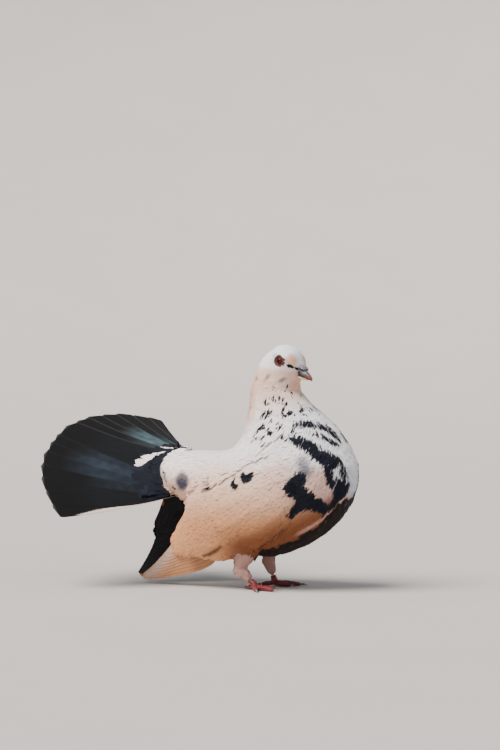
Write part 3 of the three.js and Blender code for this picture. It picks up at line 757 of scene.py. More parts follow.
def marks_of(points, kinds):
    """Share of black at each point."""
    x, y, z = points.T
    black = np.zeros(len(points))

    def darken(where, share):
        black[where] = np.maximum(black[where], share)

    # the left side has the right side's bars, bent so that the two don't match
    bend = np.c_[tuple(ripple(points, 34.0, seed) for seed in (21, 22, 23))]
    place = np.c_[x, -np.abs(y), z] + 6.0 * bend * soft(y, 0.0, 14.0)[:, None]
    body = np.where((x > 90) & (z < 175) & (kinds != "wing"))[0]
    fringe = 1.1 * ripple(points[body], 9.0, 31)
    for name, bar in BREAST_BARS.items():
        inside = inside_bar(place[body], bar, BREAST_MIDDLE) + fringe
        darken(body, soft(inside, -3.4, 4.6) * BAR_STRENGTH.get(name, SOLID_BAR))
    neck = np.where((x > 40) & (z > 125))[0]
    for centre, normal, lie, size in zip(*FLECKS):
        off = points[neck] - centre
        close = np.where(np.abs(off).max(1) < 7)[0]
        off = off[close]
        along = off @ lie
        across = np.sqrt(np.maximum((off**2).sum(1) - along**2 - (off @ normal) ** 2, 0))
        inside = (along / (FLECK_LONG * size)) ** 2 + (across / (FLECK_WIDE * size)) ** 2
        darken(neck[close], soft(1.6 - inside, 0.0, 1.5))
    shoulder = np.where((y < -25) & (x > 10) & (x < 80) & (z > 84) & (z < 118))[0]
    # dark scapular ends, and painted shade under the scapulars' edge
    for bar in SCAPULAR_SPOTS_AND_SHADE:
        inside = inside_bar(points[shoulder], bar, SHOULDER_MIDDLE)
        darken(shoulder, soft(inside, -1.8, 1.4) * 1.15)
    head = np.where(z > 184)[0]
    darken(head, soft(inside_bar(head_frame(points[head]), LORAL_LINE, FACE_MIDDLE), -0.6, 0.5))
    # the black gives way along that thin line: painted rim light at the dark underside's edge
    black *= 1 - 0.85 * rim_light_line(points, 1.5, 1.6, 96.0) * (kinds == "trunk")
    trunk = (kinds == "trunk") | (kinds == "neck")
    darken(trunk, belly(points[trunk]))
    behind = (kinds == "tail_coverts_upper") | ((x < TAIL_ROOT[0] - 8) & (z > 78))
    black[behind] = covert_dark(points[behind])
    black[kinds == "tail_coverts_under"] = 1.0
    thigh = kinds == "thigh"
    darken(thigh, soft(z[thigh], 38.0, 46.0))
    # the left wing is black, but for a few white patches
    far = (kinds == "wing") & (y > 0)
    black[far] = 1 - soft(ripple(points[far], 34.0, 51) + 0.02 * (z[far] - 95.0), 0.35, 0.6)
    return black


def ground_of(points, kinds):
    """The plumage under the marks: cream, with light and shade painted into it: whiter on top as
    painted light from above, a cool painted shade in front, and warm painted light bounced up from
    below, going over to a deep painted shade towards the flanks.
    """
    x, y, z = points.T
    front = soft(x + 0.35 * z, 130.0, 165.0)
    low_warm_light = soft(132.0 - z, 0.0, 30.0) * soft(118.0 - x, -8.0, 20.0) * soft(x, -20.0, 40.0)
    cheek = soft(209.0 - z, 0.0, 8.0) * soft(z, 150.0, 190.0) * soft(114.0 - x, 0.0, 16.0)
    low = soft(belly_edge(points) + 32.0 - z, 0.0, 28.0) * soft(x, 22.0, 60.0) * soft(154.0 - x, 0, 14)
    wrist = soft(24.0 - np.linalg.norm((points - [97, -40, 104]) * [1, 0.4, 1], axis=1), 0, 16) * 0.45
    rear = soft(106.0 - z, 0, 14) * soft(24.0 - x, 0, 14) * (kinds != "wing") * 0.8
    breast = soft(16.0 - np.linalg.norm((points - [131, -34, 99]) * [1, 1, 0.8], axis=1), -3, 8)
    # a cool painted shade over the front, which faces away from the main light
    colour = blend(CREAM, COOL_SHADE, front)
    for tint, share in (
        # whiter towards the top: painted light from above; the two warm tints: painted warm light bounced
        # up from below; the deep brown low down: painted shade
        (LIT_WHITE, soft(z, 92.0, 126.0) * 0.8),
        (WARM_BOUNCE, low_warm_light * 0.35),
        (PEACH, cheek * 0.7),
        (WARM_BOUNCE, soft(108.0 - z, 0.0, 50.0) * soft(152.0 - x, 0.0, 26.0)),
        (DEEP_SHADE, low),
        (PEACH, soft(66.0 - x, 0.0, 12.0) * soft(z, 140.0, 168.0) * 0.75),
        (PINKISH, np.maximum(wrist, rear) * (y < 0)),
        (PINKISH, breast * (y < 0) * 0.85),
    ):
        colour = blend(colour, tint, share)
    # the legs' pinkish white feathers, darkened as painted shade under the body
    leg = (kinds == "thigh") | (kinds == "shank")
    colour = np.where(leg[:, None], LEG_PINK_SHADED, colour)
    own = head_frame(points)
    for middle, share in FACE_FLUSHES:
        off = np.linalg.norm(own - middle, axis=1)
        colour = blend(colour, PEACH, soft(FACE_FLUSH_RADIUS - off, -2.0, 5.0) * share)
    for smudge in (CHEEK_SMUDGE, NAPE_SMUDGE, EAR_SMUDGE):
        colour = blend(colour, SLATE, soft(inside_bar(own, smudge, FACE_MIDDLE), -1.6, 0.8) * 0.7)
    side = np.c_[x, -np.abs(y), z]
    grey = soft(inside_bar(side, GREY_CLOUD, BREAST_MIDDLE), -5.0, 4.0) * 0.75
    for spot_x, spot_z, radius, share in RUMP_SPOTS:
        off = np.hypot((x - spot_x) * 1.15, z - spot_z)
        spot = share * soft(radius - off, -2.0, 3.5) * (y < -8.0)
        grey = np.maximum(grey, spot * (0.88 + 0.12 * soft(spot_z - z, -5.0, 3.0)))
    # painted shade along that crease
    fold_shade = soft(inside_bar(side, FOLD_SHADE_LINE, SHOULDER_MIDDLE), -0.8, 0.5) * 0.5
    # painted shade in that notch, on the wing's coat
    notch = soft(inside_bar(points * [1, 0, 1], NOTCH_SHADE_LINE), -1.4, 0.6) * (y < -20.0)
    # pink along that line: painted rim light
    rim = rim_light_line(points, 1.2, 1.3, 100.0) * 0.8
    for tint, share in (
        (SLATE, grey),
        (DEEP_SHADE, fold_shade),
        (DEEP_SHADE * 0.25, notch * (kinds == "wing") * 0.85),
        (PINKISH, rim * (kinds == "trunk")),
    ):
        colour = blend(colour, tint, share)
    return colour * (1 + 0.035 * ripple(points, 7.0, 61)[:, None])


def plumage(points, part):
    """The bird's markings, the same for skin and coat, at points in mm: the ground colour, with
    light and shade painted into it, the colour of the marks, and how strong they are."""
    kinds = FLESH_KINDS[part]
    ink = INK * (1 + 0.8 * soft(ripple(points, 12.0, 71), 0.2, 0.9)[:, None])
    ink = np.where((belly(points) > 0.5)[:, None], SOOT, ink)
    return ground_of(points, kinds), ink, marks_of(points, kinds)


# ---------------------------------------------------------------- unwrap of the skin


def unwrap(mesh):
    """Unwraps the skin's own shape. Returns where each face corner lies on the unwrap."""
    thing = put("unwrap", mesh)
    bpy.context.view_layer.objects.active = thing
    thing.select_set(True)
    bpy.ops.object.mode_set(mode="EDIT")
    bpy.ops.mesh.select_all(action="SELECT")
    bpy.ops.uv.smart_project(angle_limit=math.radians(72), island_margin=0.002)
    bpy.ops.object.mode_set(mode="OBJECT")
    places = read(mesh.uv_layers.active.data, "uv", 2).astype(float)
    bpy.data.objects.remove(thing)
    mesh.uv_layers.remove(mesh.uv_layers.active)
    return places


skin_unwrap = unwrap(skin_mesh)
skin_mesh.calc_loop_triangles()
skin_corners = read(skin_mesh.loop_triangles, "loops", 3, np.int32)
skin_triangles = read(skin_mesh.loop_triangles, "vertices", 3, np.int32)
skin_tree = BVHTree.FromPolygons([Vector(p) for p in skin_points], skin_triangles.tolist())


def on_unwrap(points):
    """Where the nearest places of the skin lie on its unwrap."""
    found = []
    for point in points:
        spot, _, index, _ = skin_tree.find_nearest(Vector(point))
        a, b, c = (skin_points[v] for v in skin_triangles[index])
        p = np.array(spot)
        whole = np.cross(b - a, c - a)
        full = max(whole @ whole, 1e-12)
        u = (np.cross(c - b, p - b) @ whole) / full
        v = (np.cross(a - c, p - c) @ whole) / full
        corners = skin_unwrap[skin_corners[index]]
        found.append(corners[0] * u + corners[1] * v + corners[2] * (1 - u - v))
    return np.array(found)


skin_ground, skin_ink, skin_marks = plumage(skin_points, skin_part)
# the skin is painted darker than the coat: painted shade in the chinks under the feathers
paint(skin_mesh, blend(skin_ground, skin_ink, skin_marks) * 0.85)
show(skin_mesh, "skin", DOWN, "plumage_white", FLESH)


# ---------------------------------------------------------------- feather roots

EYE_GUARD = 5.5  # mm round the eye's axis that the ring of bare skin takes
BILL_GUARD = 0.7  # mm that feathers keep off the bill and the cere


def eye_of(side):
    """The middle and the radius of an eye, in mm."""
    low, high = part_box(f"eye_{side}")
    return np.array((low + high) / 2) / MM, (high.z - low.z) / 2 / MM


bill_tree = tree_of(merged(["bill_upper", "bill_lower", "cere"]))


def clear_of_face(points, margin):
    """True where a feather's point is off the bare ring and the bill."""
    clear = np.ones(len(points), bool)
    for name, side in SIDES.items():
        centre, _ = eye_of(name)
        axis = side * np.array([-math.sin(HEAD_TURN), math.cos(HEAD_TURN), 0.0])
        off = points - centre
        out = off @ axis
        beside = np.linalg.norm(off - out[:, None] * axis, axis=1)
        clear &= (beside > EYE_GUARD + margin) | (out < 0)
    near_bill = (points[:, 0] > 88) & (points[:, 2] > 180)
    for i in np.where(near_bill)[0]:
        clear[i] &= bill_tree.find_nearest(Vector(points[i]))[3] > BILL_GUARD
    return clear


PLACES_TRIED = 3.2  # for each root that the area has room for


def sow(chosen, gap, seed):
    """Feather roots scattered evenly over the chosen triangles of the skin, `gap` mm apart."""
    rng = np.random.default_rng(seed)
    corners = skin_points[skin_triangles]
    centres = corners.mean(1)
    edges = corners[:, 1:] - corners[:, :1]
    area = np.linalg.norm(np.cross(edges[:, 0], edges[:, 1]), axis=1) / 2
    weight = np.where(chosen, area / gap(centres) ** 2, 0)
    count = int(weight.sum() * PLACES_TRIED)
    which = rng.choice(len(weight), count, p=weight / weight.sum())
    a, b = np.sqrt(rng.random(count)), rng.random(count)
    share = np.c_[1 - a, a * (1 - b), a * b]
    points = (corners[which] * share[:, :, None]).sum(1)
    normals = unit((skin_normals[skin_triangles[which]] * share[:, :, None]).sum(1))
    patch = (skin_unwrap[skin_corners[which]] * share[:, :, None]).sum(1)
    part = skin_part[skin_triangles[which, 0]]
    apart = gap(points)
    tree = tree_of_points(points)
    taken = np.zeros(count, bool)
    kept = []
    for i in range(count):
        if not taken[i]:
            kept.append(i)
            for _, j, _ in tree.find_range(points[i], apart[i]):
                taken[j] = True
    kept = np.array(kept)
    return points[kept], normals[kept], patch[kept], part[kept]


# ---------------------------------------------------------------- coat of contour feathers

PATCH = 0.003  # size of a feather on the skin's unwrap
CAMBER = 0.12  # how far a feather's edges are drawn down, against its half width


def live(sockets, name="Value"):
    """The one socket of this name that is in use for the node's kind of data."""
    return next(socket for socket in sockets if socket.name == name and socket.enabled)


def feather_layer_tree(rows):
    """Feathers laid on the skin: a blade at each root, bent so that it follows the skin."""
    tree = bpy.data.node_groups.new(f"feathers of {rows} rows", "GeometryNodeTree")
    for name, way, kind in (
        ("Roots", "INPUT", "Geometry"),
        ("Skin", "INPUT", "Object"),
        ("Slope", "INPUT", "Float"),
        ("Material", "INPUT", "Material"),
        ("Feathers", "OUTPUT", "Geometry"),
    ):
        tree.interface.new_socket(name, in_out=way, socket_type=f"NodeSocket{kind}")
    given = add(tree, "NodeGroupInput").outputs
    maths = maths_in(tree)

    def own(name, kind="FLOAT_VECTOR"):
        return add(tree, "GeometryNodeInputNamedAttribute", {"Name": name}, data_type=kind).outputs[0]

    def vectors(operation, *values):
        return add(tree, "ShaderNodeVectorMath", dict(enumerate(values)), operation=operation).outputs[0]

    def scaled(vector, factor):
        return add(tree, "ShaderNodeVectorMath", {0: vector, "Scale": factor}, operation="SCALE").outputs[0]

    def keep(geometry, name, value, kind, domain):
        made = add(
            tree,
            "GeometryNodeStoreNamedAttribute",
            {"Geometry": geometry, "Name": name},
            data_type=kind,
            domain=domain,
        )
        tree.links.new(value, live(made.inputs))
        return made.outputs[0]

    # the blade: a flat grid, with its rows closer together towards the tip
    grid = {"Size X": 2.0, "Size Y": 1.0, "Vertices X": 3, "Vertices Y": rows}
    blade = add(tree, "GeometryNodeMeshGrid", grid).outputs
    where = add(tree, "GeometryNodeInputPosition").outputs[0]
    flat = add(tree, "ShaderNodeSeparateXYZ", {0: where}).outputs
    left = maths("SUBTRACT", 1.0, maths("ADD", flat[1], 0.5))
    along = maths("SUBTRACT", 1.0, maths("POWER", left, 1.5))
    shape = keep(blade["Mesh"], "vane", blade["UV Map"], "FLOAT2", "CORNER")
    shape = keep(shape, "across", flat[0], "FLOAT", "POINT")
    shape = keep(shape, "along", along, "FLOAT", "POINT")
    roots = keep(given["Roots"], "root", where, "FLOAT_VECTOR", "POINT")
    spread = add(tree, "GeometryNodeInstanceOnPoints", {"Points": roots, "Instance": shape})
    single = add(tree, "GeometryNodeRealizeInstances", {0: spread.outputs[0]}).outputs[0]

    # its outline, level with its root
    across, reach, lie, up = own("across", "FLOAT"), own("along", "FLOAT"), own("lie"), own("up")
    long, wide, lift = add(tree, "ShaderNodeSeparateXYZ", {0: own("size")}).outputs
    swell = maths("MINIMUM", 1.0, maths("MULTIPLY_ADD", reach, 1.7, 0.35))
    round_tip = maths("SQRT", maths("SUBTRACT", 1.0, maths("POWER", reach, 4.0)))
    half = maths("MULTIPLY", maths("MULTIPLY", swell, round_tip), maths("MULTIPLY", wide, 0.5))
    ahead = scaled(lie, maths("MULTIPLY", reach, long))
    aside = scaled(vectors("CROSS_PRODUCT", lie, up), maths("MULTIPLY", half, across))
    level = vectors("ADD", vectors("ADD", own("root"), ahead), aside)

    # laid on the skin where that is near, and free in the air where it isn't
    body = add(tree, "GeometryNodeObjectInfo", {"Object": given["Skin"]}).outputs["Geometry"]
    place = {0: body, "Sample Position": level}
    near = add(tree, "GeometryNodeProximity", place, target_element="FACES").outputs
    place = {"Mesh": body, "Sample Position": level}
    sampled = add(tree, "GeometryNodeSampleNearestSurface", place, data_type="FLOAT_VECTOR")
    tree.links.new(own("skin_up"), live(sampled.inputs))
    skin_up = vectors("NORMALIZE", live(sampled.outputs))
    rise = maths("MULTIPLY_ADD", given["Slope"], maths("SUBTRACT", reach, 1.0), 1.0)
    drop = maths("MULTIPLY", maths("MULTIPLY", CAMBER, half), maths("MULTIPLY", across, across))
    height = maths("SUBTRACT", maths("MULTIPLY", lift, rise), drop)
    laid = vectors("ADD", near["Position"], scaled(skin_up, height))
    free = vectors("ADD", level, scaled(up, height))
    gap = maths("DIVIDE", near["Distance"], maths("MAXIMUM", long, 0.0001))
    leave = ranged(tree, gap, 0.25, 0.6, interpolation_type="SMOOTHSTEP")
    mixed = add(tree, "ShaderNodeMix", {"Factor": leave}, data_type="VECTOR")
    tree.links.new(laid, live(mixed.inputs, "A"))
    tree.links.new(free, live(mixed.inputs, "B"))
    bent = {"Geometry": single, "Position": live(mixed.outputs, "Result")}
    moved = add(tree, "GeometryNodeSetPosition", bent).outputs[0]
    corner = vectors("MULTIPLY_ADD", own("vane"), (PATCH, PATCH, 0.0), own("patch"))
    mapped = keep(moved, "OFBake", corner, "FLOAT2", "CORNER")
    smooth = add(tree, "GeometryNodeSetShadeSmooth", {"Geometry": mapped}).outputs[0]
    last = add(tree, "GeometryNodeRealizeInstances", {0: smooth}).outputs[0]
    dressed = {"Geometry": last, "Material": given["Material"]}
    add(tree, "NodeGroupOutput", {0: add(tree, "GeometryNodeSetMaterial", dressed).outputs[0]})
    return tree


LAYER = {rows: feather_layer_tree(rows) for rows in (4, 6, 8)}


def socket_of(tree, name):
    return next(i.identifier for i in tree.interface.items_tree if i.name == name and i.in_out == "INPUT")


def vectors_of(mesh, key):
    return read(mesh.attributes[key].data, "vector", 3).astype(float)


def numbers_of(mesh, key):
    return read(mesh.attributes[key].data, "value").round().astype(int)


ANCHOR_GAP = 15.0  # mm between the feathers that neighbours take their barbs' run from
ANCHOR_APART = 53.0  # mm between the barbs of one such feather and the next on the noise


def nearest_anchor(points, seed):
    """For each root, the number of a nearby root whose lie its barbs run on with."""
    chosen = []
    for i in np.random.default_rng(seed).permutation(len(points)):
        if all(np.abs(points[i] - points[j]).max() > ANCHOR_GAP for j in chosen):
            chosen.append(i)
    chosen = np.array(chosen)
    tree = tree_of_points(points[chosen])
    return chosen[[tree.find(point)[1] for point in points]]


def lay_feathers(name, slot, roots, sizes, seed, rows=6, slope=0.4, untidy=5.0, lie=None):
    """One coat piece: a feather of its own size at each root, along the lie of the coat or the
    one given."""
    points, normals, patch, part = roots
    rng = np.random.default_rng(seed)
    if lie is None:
        lie = lie_of(points, normals, part)
    anchor = nearest_anchor(points, seed)
    across_way = np.cross(normals, lie)[anchor]
    along_way, from_there = lie[anchor], points[anchor]
    turn = np.radians(rng.normal(0, untidy, len(points)))[:, None]
    lie = unit(lie * np.cos(turn) + np.cross(normals, lie) * np.sin(turn))
    mesh = bpy.data.meshes.new(name)
    mesh.from_pydata((points * MM).tolist(), [], [])
    sizes = sizes * rng.normal(1, 0.06, sizes.shape).clip(0.8, 1.2)
    for key, values in (
        ("node", part),
        ("own_number", np.arange(len(points))),
        ("lie", lie),
        ("up", normals),
        ("size", sizes * MM),
        ("patch", np.c_[patch, np.zeros(len(patch))] - [PATCH / 2, 0, 0]),
    ):
        store(mesh, key, values)
    thing = put(name, mesh)
    grow = thing.modifiers.new("feathers", "NODES")
    grow.node_group = LAYER[rows]
    for key, value in (("Skin", lay_form), ("Slope", slope), ("Material", COAT)):
        grow[socket_of(LAYER[rows], key)] = value
    laid = evaluated(thing)
    which = numbers_of(laid, "own_number")
    number = rng.random(len(points))[which]
    # each feather takes its marks from a little up or down the lie, so that edges are broken
    where = points_of(laid) + vectors_of(laid, "lie") * ((number - 0.5) * 1.6)[:, None]
    ground, ink, strength = plumage(where, numbers_of(laid, "node"))
    paint(laid, ground * (1 + 0.06 * (number - 0.5))[:, None])
    laid.attributes.remove(laid.attributes["own_number"])
    mark_up(laid, ink, strength, number)
    # the barbs' map runs on from feather to feather, with a small step from each to the next
    off = points_of(laid) - from_there[which]
    over = (off * across_way[which]).sum(1) + (anchor[which] % 97) * ANCHOR_APART + 0.7 * (number - 0.5)
    flat = np.c_[over, (off * along_way[which]).sum(1) + 3.0 * (number - 0.5)]
    flat = flat[read(laid.loops, "vertex_index", kind=np.int32)]
    laid.attributes["vane"].data.foreach_set("vector", flat.astype(np.float32).ravel())
    for key in ("lie", "up", "size", "patch", "root", "across", "along", "node"):
        laid.attributes.remove(laid.attributes[key])
    show(laid, name, COAT, slot)
    print(name, len(points), "feathers", len(laid.polygons) * 2, "triangles")


def triangles_of(*kinds, side=None):
    """Which triangles of the skin belong to these kinds of node, on one side or both."""
    names = [
        kind_of(name) in kinds and (side is None or f"_{side}" in name or kind_of(name) == name)
        for name in FLESH
    ]
    return np.array(names)[skin_part[skin_triangles[:, 0]]]


END_WALL = 0.62  # how nearly a face may look the way of the feathers on it


def cover(name, slot, chosen, gap, size, seed, under_fan=False, **way):
    """Sows one region and lays its feathers. size(points) gives length, width and lift in mm."""
    roots = sow(chosen, gap, seed)
    points, normals, _, part = roots
    sizes = size(points)
    sizes[:, 2] += tract_step(points)
    # none grows from a face that looks the way the feathers point, such as a panel's end wall
    fine = (way_of(points, part) * normals).sum(1) < END_WALL
    lie = None
    if under_fan:
        # each lies towards a place a little under the fan
        off = points - TAIL_ROOT
        angle = np.clip(np.arctan2(off[:, 1], -off[:, 0]), *np.radians([-47.0, 47.0]))
        ends, up = tail_point(angle, np.linalg.norm(off, axis=1) + sizes[:, 0])
        lie = unit(ends - up * 3.0 - points)
        fine &= np.abs(normals[:, 2]) > END_WALL
    reach = points + lie_of(points, normals, part) * sizes[:, :1]
    high = points[:, 2] > 175
    for place, margin in ((points, 0.0), ((points + reach) / 2, 0.2), (reach, -0.2)):
        fine[high] &= clear_of_face(place[high], margin)
    roots = tuple(values[fine] for values in roots)
    lie = None if lie is None else lie[fine]
    lay_feathers(name, slot, roots, sizes[fine], seed, lie=lie, **way)


# Where one tract of feathers lies over the next: the edge's points, the way across it towards
# the upper tract, and how far the upper tract stands over the lower one, in mm.
TRACT_EDGES = [
    ([(74, -43, 121), (56, -46, 110), (35, -45, 100), (12, -42, 90)], (-0.5, 0.0, 0.87), 2.0),
    ([(88, -39, 140), (72, -41, 124)], (-0.7, 0.0, 0.7), 1.3),
]
TRACT_FALL = 15.0  # mm over which the step dies away behind the edge


def tract_step(points):
    """Extra height of feathers just behind the edge of their tract."""
    side = np.c_[points[:, 0], -np.abs(points[:, 1]), points[:, 2]]
    extra = np.zeros(len(points))
    for line, over, step in TRACT_EDGES:
        for start, end in zip(line, line[1:]):
            _, off = from_line(side, start, end)
            ahead = off @ np.array(over)
            near = np.linalg.norm(off, axis=1) < TRACT_FALL
            extra = np.maximum(extra, step * (1 - ahead / TRACT_FALL) * (ahead > 0) * near)
    return extra


def even(value):
    """The same for every feather."""
    return lambda points: np.full(len(points), value)


def lower(base, more, height, fall):
    """Grows by `more` from a height down, over a fall, in mm."""
    return lambda points: base + more * soft(height - points[:, 2], 0.0, fall)


def sized(gap, long, wide, lift):
    """Feather sizes: length and width in spacings of the roots, and a lift in mm."""
    return lambda points: np.c_[gap(points) * long, gap(points) * wide, lift(points)]


def head_gap(points):
    return 0.75 + 0.55 * soft(np.linalg.norm(points - BILL_ROOT, axis=1), 6.0, 42.0)


def body_gap(points):
    return lower(1.4, 0.5, 150.0, 60.0)(points) + 0.3 * soft(30.0 - points[:, 0], 0.0, 50.0)


def wing_gap(points):
    return 1.55 + 0.8 * soft(100.0 - points[:, 0], 0.0, 60.0)


def covert_size(points):
    """Under tail coverts: longer towards the rump, so that the last ones end in one even edge."""
    reach = np.linalg.norm(points - TAIL_ROOT, axis=1)
    return np.c_[np.clip(68.0 - reach, 12.0, 26.0), even(10.0)(points), even(2.3)(points)]


def shank_size(points):
    """The lowest feathers reach over the top of the foot."""
    return np.c_[lower(3.8, 3.4, 15.0, 5.0)(points), even(1.9)(points), even(1.1)(points)]


WHITE_SLOT, BLACK_SLOT = "plumage_white", "plumage_black"
WING_SLOT = {"right": WHITE_SLOT, "left": BLACK_SLOT}
BACK_FROM = 70.0  # mm, where the breast's pieces of the coat end and the back's begins

triangle_x, triangle_y = skin_points[skin_triangles[:, 0], :2].T
trunk = triangles_of("trunk")
head_size = sized(head_gap, 4.4, 2.1, lower(1.1, 0.7, 199.0, 12.0))
cover("coat_head", WHITE_SLOT, triangles_of("head"), head_gap, head_size, 101, rows=4)
neck_gap = lower(1.15, 0.35, 185.0, 35.0)
neck_size = sized(neck_gap, 5.6, 2.0, lower(1.3, 0.9, 182.0, 22.0))
cover("coat_neck", WHITE_SLOT, triangles_of("neck"), neck_gap, neck_size, 102)
body_size = sized(body_gap, 5.4, 2.2, even(3.0))
breast = trunk & (triangle_x > BACK_FROM)
for side, chosen in (("right", triangle_y <= 0), ("left", triangle_y > 0)):
    cover(f"coat_breast_{side}", WHITE_SLOT, breast & chosen, body_gap, body_size, 103)
cover("coat_back", WHITE_SLOT, trunk & ~breast, body_gap, body_size, 104)
wing_size = sized(wing_gap, 4.8, 2.3, even(2.2))
leg_gap = even(1.5)
thigh_size = sized(leg_gap, 4.0, 1.9, even(1.7))
for side in SIDES:
    wing, thigh, shank = (triangles_of(kind, side=side) for kind in ("wing", "thigh", "shank"))
    cover(f"coat_wing_{side}", WING_SLOT[side], wing, wing_gap, wing_size, 105)
    cover(f"coat_thigh_{side}", WHITE_SLOT, thigh, leg_gap, thigh_size, 107, untidy=2.0)
    cover(f"coat_shank_{side}", WHITE_SLOT, shank, even(0.95), shank_size, 108, rows=4)
near_root = np.linalg.norm(skin_points[skin_triangles[:, 0]] - TAIL_ROOT, axis=1) < 52.0
under = triangles_of("tail_coverts_under") & near_root
cover("coat_coverts_under", BLACK_SLOT, under, even(3.4), covert_size, 110, under_fan=True, rows=8)


# ---------------------------------------------------------------- flight feathers

VANE_ROWS = 44
VANE_COLUMNS = np.array([-1.0, -0.8, -0.55, -0.3, -0.1, 0.0, 0.1, 0.3, 0.55, 0.8, 1.0])
VANE_THICK = 0.35  # mm
UNDERSIDE_SHADE = 0.85


class Vanes:
    """Gathers flight feathers, and joins them in one piece."""

    def __init__(self, shaft):
        self.shaft = shaft  # mm that the shafts stand over the vanes
        self.rows = []  # two for each feather: its upper and its lower face
        self.faces = []
        self.count = 0

    def add(self, spine, ups, webs, lift, colour, number, blunt, tip_from, seed, split=False, sheet=None):
        """One feather along `spine` (rows of points, root to tip), with `ups` its upper side's
        normals, `webs` its two half widths, and lift(across, along) its height over the spine.
        Its tip begins at the share `tip_from` of its length, the broader the larger `blunt` is.
        Where `split` is set, its webs part in a place or two. Where `sheet` is given, it turns
        mm to the side, for each row, into points of the surface the feather bends with."""
        rows, columns = len(spine), len(VANE_COLUMNS)
        rng = np.random.default_rng(seed)
        share = np.linspace(0, 1, rows)
        ahead = unit(np.gradient(spine, axis=0))
        ups = unit(ups - (ups * ahead).sum(1, keepdims=True) * ahead)
        side = np.cross(ups, ahead)
        narrow = np.minimum(1.0, 0.3 + share / 0.22)
        tip = np.clip((share - tip_from) / (1 - tip_from), 0, 1)
        width = narrow * np.sqrt(np.clip(1 - tip**blunt, 0, 1))
        notch = np.ones((rows, columns))
        for _ in range(rng.integers(0, 3) if split else 0):
            at, which = rng.uniform(0.45, 0.9), rng.choice([0, columns - 1])
            notch[:, which] -= 0.22 * np.exp(-(((share - at) / 0.012) ** 2))
        across, along = np.meshgrid(VANE_COLUMNS, share)
        half = np.where(across < 0, webs[0], webs[1]) * width[:, None] * notch
        shaft = self.shaft * np.exp(-((across / 0.06) ** 2)) * (1 - along)
        high = lift(across, along) + shaft
        if sheet is None:
            base, raised = spine[:, None] + side[:, None] * (across * half)[..., None], ups[:, None]
        else:
            base, raised = sheet(across * half)
        top = base + raised * high[..., None]
        low = top - raised * VANE_THICK
        first, layer = self.count, rows * columns

        def corner(r, c, low_layer=0):
            return first + low_layer * layer + r * columns + c

        for r in range(rows - 1):
            for c in range(columns - 1):
                ring = (corner(r, c), corner(r, c + 1), corner(r + 1, c + 1), corner(r + 1, c))
                self.faces.append(ring)
                self.faces.append(tuple(v + layer for v in reversed(ring)))
        edge = [(r, 0) for r in range(rows)] + [(rows - 1, c) for c in range(1, columns)]
        edge += [(r, columns - 1) for r in range(rows - 2, -1, -1)]
        edge += [(0, c) for c in range(columns - 2, 0, -1)]
        for one, two in zip(edge, edge[1:] + edge[:1]):
            self.faces.append((corner(*one), corner(*two), corner(*two, 1), corner(*one, 1)))
        ground, ink, strength = colour(across.ravel(), along.ravel(), top.reshape(-1, 3))
        length = np.linalg.norm(np.diff(spine, axis=0), axis=1).sum()
        flat = np.c_[(across * half).ravel(), (along * length).ravel()]
        slot = np.c_[across.ravel() / 2, along.ravel() - 0.5] * PATCH
        for shade, points in ((1.0, top), (UNDERSIDE_SHADE, low)):
            self.rows.append(
                {
                    "points": points.reshape(-1, 3),
                    "colours": ground * shade,
                    "inks": ink + 0 * ground,
                    "strengths": strength,
                    "vane": flat,
                    "slots": slot,
                    "feathers": np.full(len(slot), len(self.rows) // 2),
                    "numbers": np.full(len(slot), (number * 0.37) % 1.0),
                }
            )
        self.count += 2 * layer

    def piece(self, name, slot, replaced=(), material=FLIGHT):
        made = {key: np.concatenate([row[key] for row in self.rows]) for key in self.rows[0]}
        mesh = bpy.data.meshes.new(name)
        mesh.from_pydata((made["points"] * MM).tolist(), [], self.faces)
        face_outwards(mesh)
        paint(mesh, made["colours"])
        mark_up(mesh, made["inks"], made["strengths"], made["numbers"])
        size = len(made["points"]) // (len(self.rows) // 2)
        bake = on_unwrap(made["points"][::size])[made["feathers"]] + made["slots"]
        loops = read(mesh.loops, "vertex_index", kind=np.int32)
        for key, values in (("vane", made["vane"]), ("OFBake", bake)):
            layer = mesh.uv_layers.new(name=key)
            layer.data.foreach_set("uv", values[loops].astype(np.float32).ravel())
        show(mesh, name, material, slot, replaced)
        print(name, len(mesh.polygons) * 2, "triangles")


# ---------------------------------------------------------------- tail

TAIL_FEATHERS = 14
TAIL_OUTER_SHORTER = 9.0  # mm
TAIL_WEBS = (18.5, 15.5)  # half widths: towards the middle of the fan, and outwards
TAIL_LAP = 0.24  # mm that a feather's edges stand over and under its shaft
TAIL_OUTERMOST = 0.985  # share of the half spread at which the outermost shafts lie
TAIL_EDGE_ROOM = (2.5, 4.0)  # degrees inside the fan's edge that webs are pressed together in
TAIL_BLACK = linear("#050608")
TAIL_SHEEN_BLUE = linear("#2c3846")
TAIL_SHEEN_GREEN = linear("#56707a")
TAIL_EDGE = linear("#8a8688")
TAIL_PALE = linear("#d9c3bb")
# Painted sheen of blue or green on some feathers: how strong, its colour, and where it starts and
# ends along them.
TAIL_PAINTED_SHEEN = {
    3: (0.35, TAIL_SHEEN_BLUE, 0.2, 0.6),
    4: (0.55, TAIL_SHEEN_BLUE, 0.2, 0.75),
    5: (0.8, TAIL_SHEEN_BLUE, 0.2, 0.75),
    6: (0.5, TAIL_SHEEN_BLUE, 0.2, 0.7),
    8: (0.25, TAIL_SHEEN_GREEN, 0.15, 0.5),
    9: (0.8, TAIL_SHEEN_GREEN, 0.15, 0.6),
    10: (0.8, TAIL_SHEEN_GREEN, 0.15, 0.65),
    11: (0.3, TAIL_SHEEN_GREEN, 0.15, 0.5),
}


